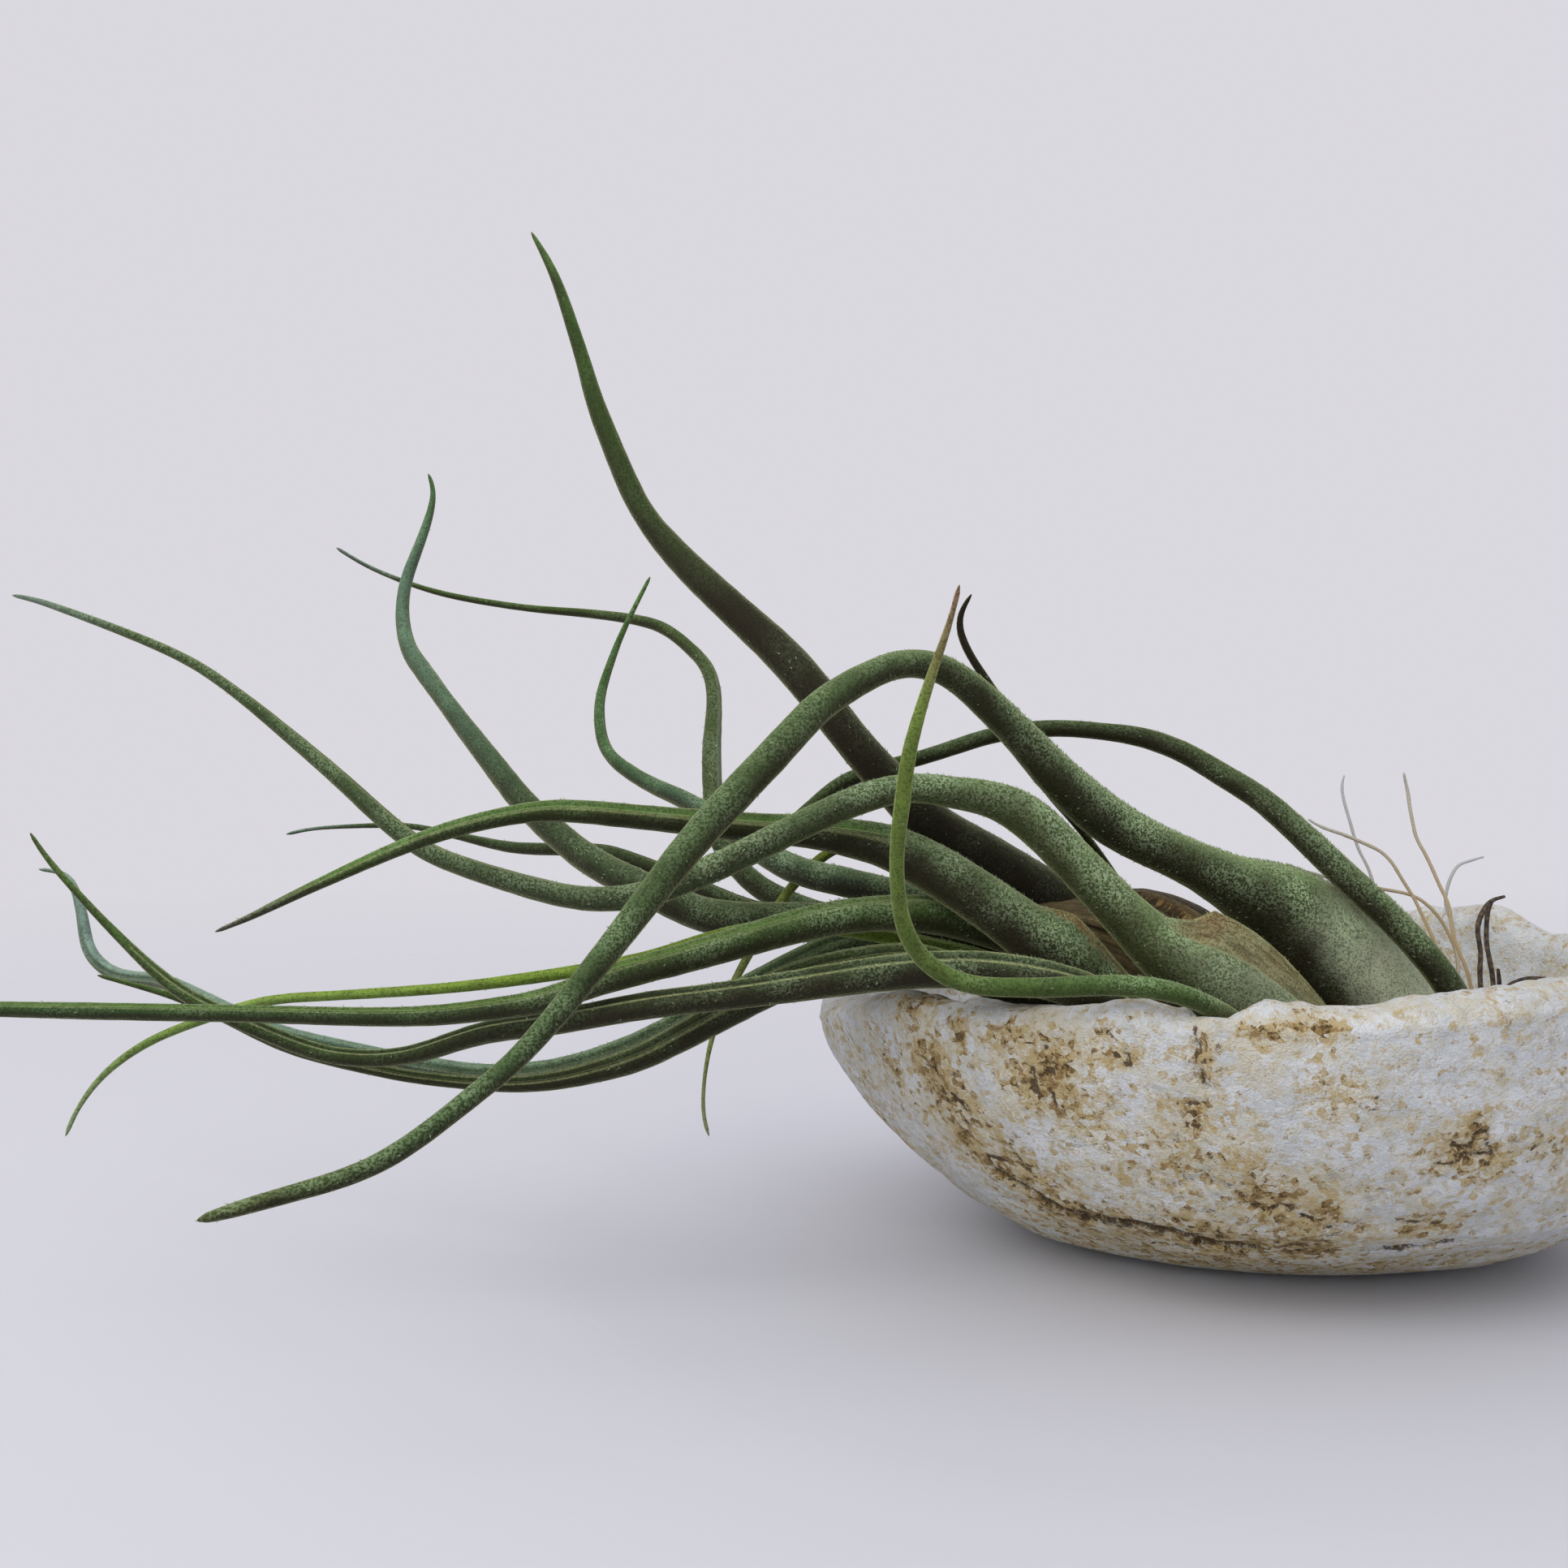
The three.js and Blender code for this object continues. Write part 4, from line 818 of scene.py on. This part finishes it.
def stemSheaths(line, arc, around):  # how high the sheaths lie on the stem, and how they are marked, with painted shade beside each margin
    shape = (len(line), len(around))
    top, edge, creviceShadow, tone = np.zeros(shape), np.zeros(shape), np.zeros(shape), np.ones(shape)
    stripeRound = np.broadcast_to(np.abs(around - math.pi), shape)
    stripeAlong = np.broadcast_to(arc[:, None], shape)
    wander = noiseAt(np.column_stack([np.cos(around) * 4, np.sin(around) * 4, around * 0]), 1.1, 3)
    for order, (end, middle, half) in enumerate(stem["sheaths"]):
        away = wrapped(around - math.radians(middle))
        reach = np.clip(1 - (arc / end) ** 3, 0, 1) ** 0.6 * math.radians(half)
        ripple = noiseAt(np.column_stack([arc * 0.5, arc * 0 + order * 9.1, arc * 0]), 1.0, 4)
        reach = (reach + np.where(reach > 0, stem["ragged"] * ripple, 0))[:, None]
        inside = (reach + 0.05 * wander - np.abs(away)) * np.maximum(line[:, 3:4], 2)  # mm within its margin
        height = (order + 1) * stem["layer"] * np.clip(inside / stem["edgeWidth"], 0, 1)
        height = height + stem["swell"] * np.clip(inside / stem["swellWidth"], 0, 1) ** 0.5
        over = (inside > 0) & (height > top)  # where this sheath is the uppermost so far
        top = np.where(over, height, top)
        edge = np.where(over, np.exp(-inside / stem["rimWidth"]), edge)
        # painted shade on the layer beneath, just outside each margin
        marginShadow = np.exp(np.minimum(inside, 0) / stem["creviceShadowWidth"]) * (reach > 0)
        creviceShadow = np.where(over, 0, np.maximum(creviceShadow, marginShadow))
        tone[over] = stem["tones"][order % len(stem["tones"])]
        stripeRound = np.where(over, away / np.maximum(reach, 0.15) * 1.6 + order * 3.7, stripeRound)
    stripes = np.stack([stripeRound, stripeAlong], axis=2)
    return top, edge, tone * (1 - stem["creviceShade"] * creviceShadow), stripes


def stemPiece(material):
    line = eased(evenly(throughPoints(stem["stations"]), stem["step"]), stem["easing"])
    line[0] = stem["stations"][0]
    along, upper, sideways = framesAlong(line)
    around = ringAngles(stem["sides"])
    top, edge, tone, stripes = stemSheaths(line, arcLength(line), around)
    fibres = np.dstack([stripes[..., 0] * 14, stripes[..., 1] * 0.12, np.zeros(top.shape)])
    top = top + stem["fibreHeight"] * noiseAt(fibres, 1.0, 8)
    top = top - stem["inset"] - top.max() * 0.5
    radius = np.maximum(line[:, 3:4] + top, stem["thinnest"])
    radius[0] = line[0, 3] - stem["footInset"]
    rings = line[:, None, :3] + radius[..., None] * spokesAround(upper, sideways, around)
    rings[..., 2] = np.maximum(rings[..., 2], stem["stations"][0][2])
    patches = noiseAt(rings, 6.0, 9)
    dryness = fade(rings[..., 2] + 4 * patches, stem["tanFrom"], stem["tanFull"])
    middle = line[:, None, 1]
    shaded = fade(rings[..., 1] + 2 * patches, middle + 2, middle - 6)  # painted shade towards the front, where the leaves shade it
    tint = np.zeros(rings.shape) + colourOf(stem["olive"])[:3]
    tint = tinted(tinted(tint, stem["dark"], shaded), stem["tan"], dryness) * tone[..., None]
    mesh = skinMesh("stem_sheaths", rings, line[0, :3], line[-1, :3] + along[-1] * 0.4)
    setMap(mesh, stripes)
    setTint(mesh, tint)
    setAttribute(mesh, "edge", edge)
    piece = addObject(mesh, material)
    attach(piece, root)
    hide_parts("stem_and_roots")


stemPiece(stemMaterial())
print("stem")


# The roots. Each has its thickness in mm, its tone, then its route of across, up and depth.
roots = {
    "wiry_dark": [0.85, "dark", [[22.5, 10.5, -19], [31.5, 22, -13], [36, 36, -11], [36.5, 45.5, -9],
                                 [36, 51.5, -8], [37.5, 54.5, -7], [40.5, 56, -5]]],
    "wiry_dark_back": [0.85, "dark", [[22.5, 11, -18], [33.5, 25, -8], [38.5, 38, -5], [37.5, 47.5, -3],
                                      [37.5, 52.5, -2], [38.5, 55, -2]]],
    "wiry_stub": [1.0, "dark", [[22.5, 10, -19], [35, 25, 0], [39.5, 36, 3], [39.5, 43.5, 3]]],
    "wiry_side": [0.85, "dark", [[22.5, 10, -20], [36, 23.5, -12], [39.5, 36, -14], [40.5, 40.5, -15],
                                 [45, 42, -17], [50, 41.5, -19]]],
    "straw_tall": [0.62, "straw", [[22.5, 11, -18], [31.5, 25, -2], [35, 39, 2], [32.5, 47.5, 5],
                                   [30, 57, 8], [26, 65, 10], [24, 74, 12], [23.5, 77, 12]]],
    "straw_bent": [0.62, "straw", [[22, 11, -19], [28, 25, 4], [30, 43, 11], [25.5, 55, 14],
                                   [19.5, 63.5, 16], [11, 67, 18], [7.5, 69, 19]]],
    "grey_back": [0.6, "grey", [[21.5, 11, -19], [25, 26, 14], [23.5, 41.5, 24], [18.5, 58, 29],
                                [15, 66, 31], [13, 74, 32], [13.5, 76.5, 32]]],
    "grey_curl": [0.6, "grey", [[22, 10.5, -19], [31.5, 26, 4], [32.5, 47, 17], [30.5, 55, 20],
                                [32.5, 61, 22], [37, 62.5, 24]]],
    "straw_low": [0.62, "straw", [[22, 10.5, -19], [29.5, 25, 8], [32.5, 45, 19], [27.5, 54.5, 21],
                                  [21, 57, 22], [12.5, 58.5, 21], [4.5, 61, 20]]],
}
rootSkin = {
    "sides": 10, "step": 0.5, "easing": 2, "tip": 0.6, "kink": 0.35, "kinkLength": 5.0, "kinkFrom": 6.0,
    "knot": 0.14, "knotSize": 1.3, "fleck": "#a38c66", "toneStops": (0.3, 0.65, 1.0),
    "dark": ["#3d2c1e", "#2a1d16", "#1c1412"], "straw": ["#7d6a4c", "#ad9870", "#a4a59c"],
    "grey": ["#8a7354", "#a39a8c", "#aab2b8"], "roughDepth": 0.2 * mm,
}


def rootMaterial():
    material, tree, shader, place = startMaterial("dryRoot", 0.75)
    fleck = between(tree, speckle(tree, place, 1500, 3), 0.4, 0.7, 0.0, 0.28)
    colour = blend(tree, fleck, attribute(tree, "tint", "Color"), colourOf(rootSkin["fleck"]))
    tree.links.new(colour, shader.inputs["Base Color"])
    addBump(tree, shader, speckle(tree, place, 2400, 3), rootSkin["roughDepth"], 0.8)
    return material


def rootPiece(name, thickness, tone, route, material, seed):
    stations = [[*placed(*place), thickness / 2] for place in route]
    stations[-1][3] *= rootSkin["tip"]
    line = eased(evenly(throughPoints(stations), rootSkin["step"]), rootSkin["easing"])
    arc = arcLength(line)
    marks = [(a / rootSkin["kinkLength"], seed * 3.1) for a in arc]
    kinks = np.array([[noise.noise(Vector((*mark, k * 7.7))) for k in range(3)] for mark in marks])
    line[:, :3] += rootSkin["kink"] * kinks * np.clip(arc / rootSkin["kinkFrom"], 0, 1)[:, None]
    along, upper, sideways = framesAlong(line)
    spokes = spokesAround(upper, sideways, ringAngles(rootSkin["sides"]))
    knots = 1 + rootSkin["knot"] * noiseAt(line[:, :3], rootSkin["knotSize"], seed)
    rings = line[:, None, :3] + (line[:, 3] * knots)[:, None, None] * spokes
    mesh = skinMesh("root_" + name, rings, line[0, :3], line[-1, :3] + along[-1] * 0.2)
    ramp = np.array([colourOf(code)[:3] for code in rootSkin[tone]])
    tint = np.column_stack([np.interp(arc / arc[-1], rootSkin["toneStops"], ramp[:, k]) for k in range(3)])
    setTint(mesh, np.repeat(tint[:, None], rootSkin["sides"], axis=1))
    piece = addObject(mesh, material)
    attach(piece, root)
    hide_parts("stem_and_roots")


dryRoot = rootMaterial()
for seed, (name, (thickness, tone, route)) in enumerate(roots.items(), 60):
    rootPiece(name, thickness, tone, route, dryRoot, seed)
print(len(roots), "roots")


# The bowl, in mm and degrees. Its rim gives the height of the lip at each angle.
bowl = {
    "radius": 76.0, "height": 50.0, "footRadius": 28.0, "wall": 9.0, "floorHeight": 9.0,
    "floorRadius": 36.0, "bulgeStart": 12.0,
    "rim": [[0, 49], [28, 47], [37, 51], [47, 50.5], [52, 49], [90, 46], [135, 42], [180, 38], [196, 41],
            [208, 44], [232, 44.6], [242, 46.5], [262, 47], [285, 50], [315, 50], [360, 49]],
    "notchAngle": 249.0, "notchFloor": 44.4, "notchTilt": 15.0, "notchHalf": 2.1,
    "notchSides": (1.5, 0.7),  # how steep its left and right sides are
    "notchRadius": 72.0, "notchInside": 50.0,  # where its floor has its height, and how far in it is cut
    "footSquash": 0.16, "squashUpTo": 14.0,  # the lower part is less deep than wide
    "outerCurve": (1.6, 0.46), "innerCurve": (1.8, 0.5), "rowCrowding": (1.6, 1.5),
    "columns": 490, "crowding": 0.38,  # columns stand closer where the bowl faces the front
    "outerRows": 150, "lipRows": 18, "innerRows": 24, "footRings": [2.0, 12.0, 24.0], "floorRings": 8,
    "lump": 0.6, "facet": 0.4, "grit": 0.14, "pitDepth": 0.42, "chipDepth": 0.22, "highest": 0.45,
    "flatFoot": (0.8, 3.8),  # below the first height the foot stays flat
    # how far the shape swings out, in waves round the bowl: waves, where they begin, share of the radius
    "waves": [(3, 1, 0.006), (7, 0, 0.005)],
    "ragged": [(0.8, 7.0, 5), (0.5, 2.6, 6)],  # of the rim: height, size and seed
}

stone = {
    # the sizes of its forms in mm, and their seeds
    "forms": {"lump": (22, 11), "knob": (9, 12), "middling": (3.4, 13), "fine": (1.6, 14), "stained": (6, 15),
              "pitted": (14, 16), "chipped": (5.5, 17), "faceted": (16, 18)},
    "white": "#dfe3e6", "grey": "#c9ced0", "wash": "#cdc199", "tan": "#bca670", "brown": "#8c6f3c",
    "dark": "#4e3a1e", "hole": "#47331a", "crystals": 900.0, "crystalTone": 0.16,
    "inside": 0.35,  # how much of a stain shows on the inside
    "grainDepth": 0.6 * mm,
    # brown flecks: scale, where they begin and are full, how much a stain adds, strength, colour
    "flecks": [(1500, 0.62, 0.69, 0.13, 0.5, "tan"), (330, 0.68, 0.76, 0.2, 0.8, "tan"),
               (640, 0.735, 0.79, 0.17, 0.85, "brown"), (1000, 0.77, 0.81, 0.14, 0.95, "dark")],
}

# Brown stains on the stone: angle in degrees, height, reach along and upward in mm, strength.
stains = [
    [213, 43, 4, 2.5, 0.9], [215, 36, 4, 5, 0.8], [216.6, 30, 4.5, 5, 1.0], [217.5, 24, 5, 5, 1.0],
    [220, 20, 6, 4, 1.0], [224, 15.5, 6, 3, 1.0], [229, 12.5, 7, 2.5, 0.9], [206, 33, 2, 4, 0.7],
    [232, 38, 7, 4.5, 0.95], [231, 33, 6, 3, 0.7], [228, 41, 4, 2, 0.6], [240, 38.6, 2.2, 1.3, 1.2],
    [220.5, 39.6, 1.5, 3.5, 1.1], [238, 42, 4, 1.5, 0.5], [248.3, 39, 1.8, 5, 0.8],
    [253.8, 43.6, 3, 1.6, 0.9], [258.3, 43.8, 3.5, 2.5, 1.0], [261, 36, 4, 3, 0.6],
    [275.5, 26.5, 6, 3, 1.0], [275.5, 30, 3, 3, 0.7], [284, 29.4, 2.5, 3, 0.7], [247, 32, 2, 3, 0.6],
    [246, 12.5, 9, 2.5, 1.1], [254, 21, 4, 3, 0.7], [259.3, 18, 4.5, 4, 0.8], [260.8, 11.5, 3, 1.8, 1.3],
    [272.6, 15.5, 5, 2, 0.8], [237, 29, 12, 4, 0.22], [240, 23, 20, 5, 0.25], [250, 25, 12, 6, 0.2],
    [254, 15, 20, 5, 0.3], [205, 30, 8, 12, 0.22], [192, 34, 10, 9, 0.25], [250, 7, 44, 4, 0.4],
    [295, 24, 10, 6, 0.4], [312, 33, 14, 7, 0.35], [335, 18, 16, 8, 0.5], [355, 30, 8, 5, 0.7],
    [20, 22, 14, 7, 0.55], [45, 36, 9, 5, 0.7], [58, 18, 18, 8, 0.5], [85, 30, 14, 8, 0.6],
    [105, 14, 20, 6, 0.6], [128, 28, 12, 7, 0.7], [150, 16, 18, 7, 0.6], [170, 27, 8, 6, 0.8],
    [188, 18, 12, 6, 0.6],
]

# Cracks: half width, depth and how far the lower side stands out, in mm, then a route of angle and height.
cracks = [
    [0.35, 0.3, 0.0, [[247.5, 44], [247.4, 41.6], [247.8, 38.6], [248.2, 36.3]]],
    [0.9, 1.7, 0.7, [[217, 18], [220.6, 15.4], [224.2, 13.4], [229.1, 11.8], [236.5, 12.2], [241.2, 11.9],
                     [247, 10.6], [253, 10.2]]],
    [0.4, 0.6, 0.0, [[238, 8.0], [242, 8.6], [246, 8.2]]],
    [0.5, 0.7, 0.3, [[272.5, 25.4], [275, 26.8], [278.5, 26.6]]],
    [0.5, 0.8, 0.2, [[269, 10.6], [274, 11.2], [280, 12.4]]],
    [0.5, 0.9, 0.4, [[60, 14], [75, 12], [92, 13.5], [104, 12]]],
    [0.4, 0.8, 0.0, [[140, 40], [141, 34], [139.5, 29]]],
]


def rimHeight(degrees):  # the height of the lip, with an eased rise between the places in its table
    angles, heights = map(np.array, zip(*bowl["rim"]))
    index = np.clip(np.searchsorted(angles, degrees, "right"), 1, len(angles) - 1)
    share = (degrees - angles[index - 1]) / (angles[index] - angles[index - 1])
    share = share * share * (3 - 2 * share)
    return heights[index - 1] * (1 - share) + heights[index] * share


def bowlProfile():  # radius and height from the middle of the foot, over the lip, to the middle inside
    lip = bowl["wall"] / 2
    top = bowl["height"] - lip
    outerCrowding, innerCrowding = bowl["rowCrowding"]
    first, second = bowl["outerCurve"]
    high = np.linspace(0, 1, bowl["outerRows"]) ** outerCrowding * top
    reach = (1 - (1 - high / bowl["height"]) ** first) ** second
    outer = np.column_stack([bowl["footRadius"] + (bowl["radius"] - bowl["footRadius"]) * reach, high])
    turn = np.radians(np.linspace(0, 180, bowl["lipRows"])[1:-1])
    rounded = np.column_stack([bowl["radius"] - lip + lip * np.cos(turn), top + lip * np.sin(turn)])
    rise = np.linspace(1, 0, bowl["innerRows"]) ** innerCrowding
    first, second = bowl["innerCurve"]
    reach = (1 - (1 - rise) ** first) ** second
    innerRadius = bowl["radius"] - bowl["wall"]
    inner = np.column_stack([bowl["floorRadius"] + (innerRadius - bowl["floorRadius"]) * reach,
                             bowl["floorHeight"] + (top - bowl["floorHeight"]) * rise])
    foot = np.column_stack([bowl["footRings"], np.zeros(len(bowl["footRings"]))])
    middle = np.column_stack([np.linspace(bowl["floorRadius"], 1.5, bowl["floorRings"] + 1)[1:],
                              np.full(bowl["floorRings"], bowl["floorHeight"])])
    return np.vstack([foot, outer, rounded, inner, middle])


def bowlAngles():
    angles = ringAngles(bowl["columns"])
    return (angles - bowl["crowding"] * np.cos(angles) + 2 * math.pi) % (2 * math.pi)


def stoneMaterial():
    material, tree, shader, place = startMaterial("paleStone", 0.92)
    stain = attribute(tree, "stain")
    hue = {key: colourOf(value) for key, value in stone.items() if isinstance(value, str)}
    cloudy = between(tree, speckle(tree, place, 120, 7, 0.8, 0.3), 0.42, 0.58)
    colour = blend(tree, cloudy, hue["white"], hue["grey"])
    wash = maths(tree, "ADD", speckle(tree, place, 160, 7, 0.8, 0.4), maths(tree, "MULTIPLY", stain, 0.2))
    colour = blend(tree, between(tree, wash, 0.51, 0.62, 0.0, 0.5), colour, hue["wash"])
    cells = node(tree, "ShaderNodeTexVoronoi", {"Vector": place, "Scale": stone["crystals"]}).outputs["Color"]
    tones = node(tree, "ShaderNodeSeparateColor", {0: cells}).outputs[0]
    crystal = maths(tree, "MULTIPLY", tones, stone["crystalTone"])  # each crystal has its own tone
    for scale, low, high, pull, strength, name in stone["flecks"]:
        fleck = maths(tree, "ADD", speckle(tree, place, scale, 7, 0.78, 0.3), crystal)
        fleck = maths(tree, "ADD", fleck, maths(tree, "MULTIPLY", stain, pull))
        colour = blend(tree, between(tree, fleck, low, high, 0.0, strength), colour, hue[name])
    crumbs = maths(tree, "MULTIPLY", speckle(tree, place, 1700, 5, 0.75), 1.5)
    holes = between(tree, maths(tree, "ADD", attribute(tree, "pit"), crumbs), 1.16, 1.42, 0.0, 0.9)
    colour = blend(tree, holes, colour, hue["hole"])
    tree.links.new(colour, shader.inputs["Base Color"])
    grain = maths(tree, "ADD", speckle(tree, place, 900, 6, 0.75), speckle(tree, place, 2600, 3, 0.6))
    addBump(tree, shader, grain, stone["grainDepth"])
    return material


def mmAlong(angles, angle, radii):  # how far round the bowl each point is from an angle, in mm
    return ((angles - angle + 180) % 360 - 180) * np.pi / 180 * radii


def stainAt(angles, heights, radii):  # how brown the stone is at each point, 0..1
    # browner towards the foot, below 12 mm
    total = np.full(angles.shape, 0.1) + 0.3 * fade(heights, 12, 3)
    for angle, height, reachAlong, reachUp, strength in stains:
        along = mmAlong(angles, angle, radii)
        total += strength * np.exp(-(along / reachAlong) ** 2 - ((heights - height) / reachUp) ** 2)
    return np.clip(total, 0, 1)


def cracksAt(angles, heights, radii, wander):  # how deep and how dark the cracks are at each point
    relief, shade = np.zeros(angles.shape), np.zeros(angles.shape)
    for half, depth, step, route in cracks:
        for (angle, height), (nextAngle, nextHeight) in zip(route, route[1:]):
            along = mmAlong(angles, angle, radii)
            upward = heights - height + 0.8 * wander
            run, rise = (nextAngle - angle) * np.pi / 180 * radii, nextHeight - height
            share = np.clip((along * run + upward * rise) / (run ** 2 + rise ** 2 + 1e-6), 0, 1)
            gap = np.hypot(along - share * run, upward - share * rise)
            cut = np.exp(-(gap / half) ** 2)
            relief = np.minimum(relief, -depth * cut)
            shade = np.maximum(shade, cut)
            below = (upward < share * rise) & (gap < 6 * half) & (step > 0)
            ledge = step * np.exp(-gap / (3 * half)) - depth * cut  # the lower side stands out
            relief = np.where(below, np.maximum(relief, ledge), relief)
    return relief, shade


def notchHeight(degrees, radius):  # the floor of the notch in the rim, and its rising sides
    across = np.radians(degrees - bowl["notchAngle"]) * radius
    left, right = bowl["notchSides"]
    height = bowl["notchFloor"] + math.tan(math.radians(bowl["notchTilt"])) * (radius - bowl["notchRadius"])
    height = height + left * np.maximum(-across - bowl["notchHalf"], 0)
    return height + right * np.maximum(across - bowl["notchHalf"], 0)


def bowlForm(profile, angles):  # the smooth bowl with its rim and notch: points, normals, radius and height
    sides = len(angles)
    radius = np.repeat(profile[:, :1], sides, axis=1)
    height = np.repeat(profile[:, 1:], sides, axis=1)
    share = np.clip((height - bowl["bulgeStart"]) / (bowl["height"] - bowl["bulgeStart"]), 0, 1)
    ring = np.column_stack([np.cos(angles), np.sin(angles), angles * 0]) * bowl["radius"]
    ragged = sum(high * noiseAt(ring, size, seed) for high, size, seed in bowl["ragged"])
    radius = radius * (1 + share * sum(part * np.sin(waves * angles + start)
                                       for waves, start, part in bowl["waves"]))
    height = height + (rimHeight(np.degrees(angles)) + ragged - bowl["height"]) * share
    degrees = np.broadcast_to(np.degrees(angles), radius.shape)
    height = np.where(radius > bowl["notchInside"], np.minimum(height, notchHeight(degrees, radius)), height)
    slope = np.gradient(profile, axis=0)
    out = np.column_stack([slope[:, 1], -slope[:, 0]])
    out /= np.linalg.norm(out, axis=1)[:, None]
    normals = np.stack([out[:, :1] * np.cos(angles), out[:, :1] * np.sin(angles),
                        np.repeat(out[:, 1:], sides, axis=1)], axis=2)
    squash = 1 - bowl["footSquash"] * np.clip(1 - height / bowl["squashUpTo"], 0, 1)
    points = np.stack([radius * np.cos(angles), radius * np.sin(angles) * squash, height], axis=2)
    return points, normals, degrees, radius, height


def bowlPiece(material):
    profile = bowlProfile()
    points, normals, degrees, radius, height = bowlForm(profile, bowlAngles())
    lipEnd = len(bowl["footRings"]) + bowl["outerRows"] + bowl["lipRows"]
    outside = fade(np.arange(len(profile))[:, None], lipEnd + 5, lipEnd - 5)
    form = {name: noiseAt(points, size, seed) for name, (size, seed) in stone["forms"].items()}
    stain = stainAt(degrees, height, radius) * (stone["inside"] + (1 - stone["inside"]) * outside)
    stain = np.clip(stain * (1 + 0.5 * form["stained"]), 0, 1)
    crackRelief, crackShade = cracksAt(degrees, height, radius, form["fine"])
    pits = 0.9 * form["fine"] + 0.4 * form["middling"] + 0.25 * form["pitted"] + 0.3 * stain
    pits = fade(pits, 0.5, 0.74)
    chips = fade(form["chipped"] + 0.4 * form["middling"], 0.25, 0.6)
    relief = bowl["lump"] * (form["lump"] + 0.5 * form["knob"])
    relief = relief + bowl["facet"] * (0.3 - np.abs(form["faceted"]))
    relief = relief + bowl["grit"] * (form["fine"] + form["middling"])
    relief = relief - bowl["pitDepth"] * pits - bowl["chipDepth"] * chips + crackRelief * outside
    free = fade(height, *bowl["flatFoot"])
    points = points + normals * (np.minimum(relief, bowl["highest"]) * free)[..., None]
    middle = [[0, 0, profile[0, 1]], [0, 0, profile[-1, 1]]]
    mesh = skinMesh("stone_bowl", points[:, ::-1], *middle)
    pit = np.maximum(fade(pits, 0.5, 1.0) * (0.2 + 0.6 * stain), 0.75 * crackShade * outside)
    setAttribute(mesh, "pit", pit[:, ::-1])
    setAttribute(mesh, "stain", stain[:, ::-1])
    piece = addObject(mesh, material)
    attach(piece, root)
    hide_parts("bowl")


bowlPiece(stoneMaterial())
print("bowl")
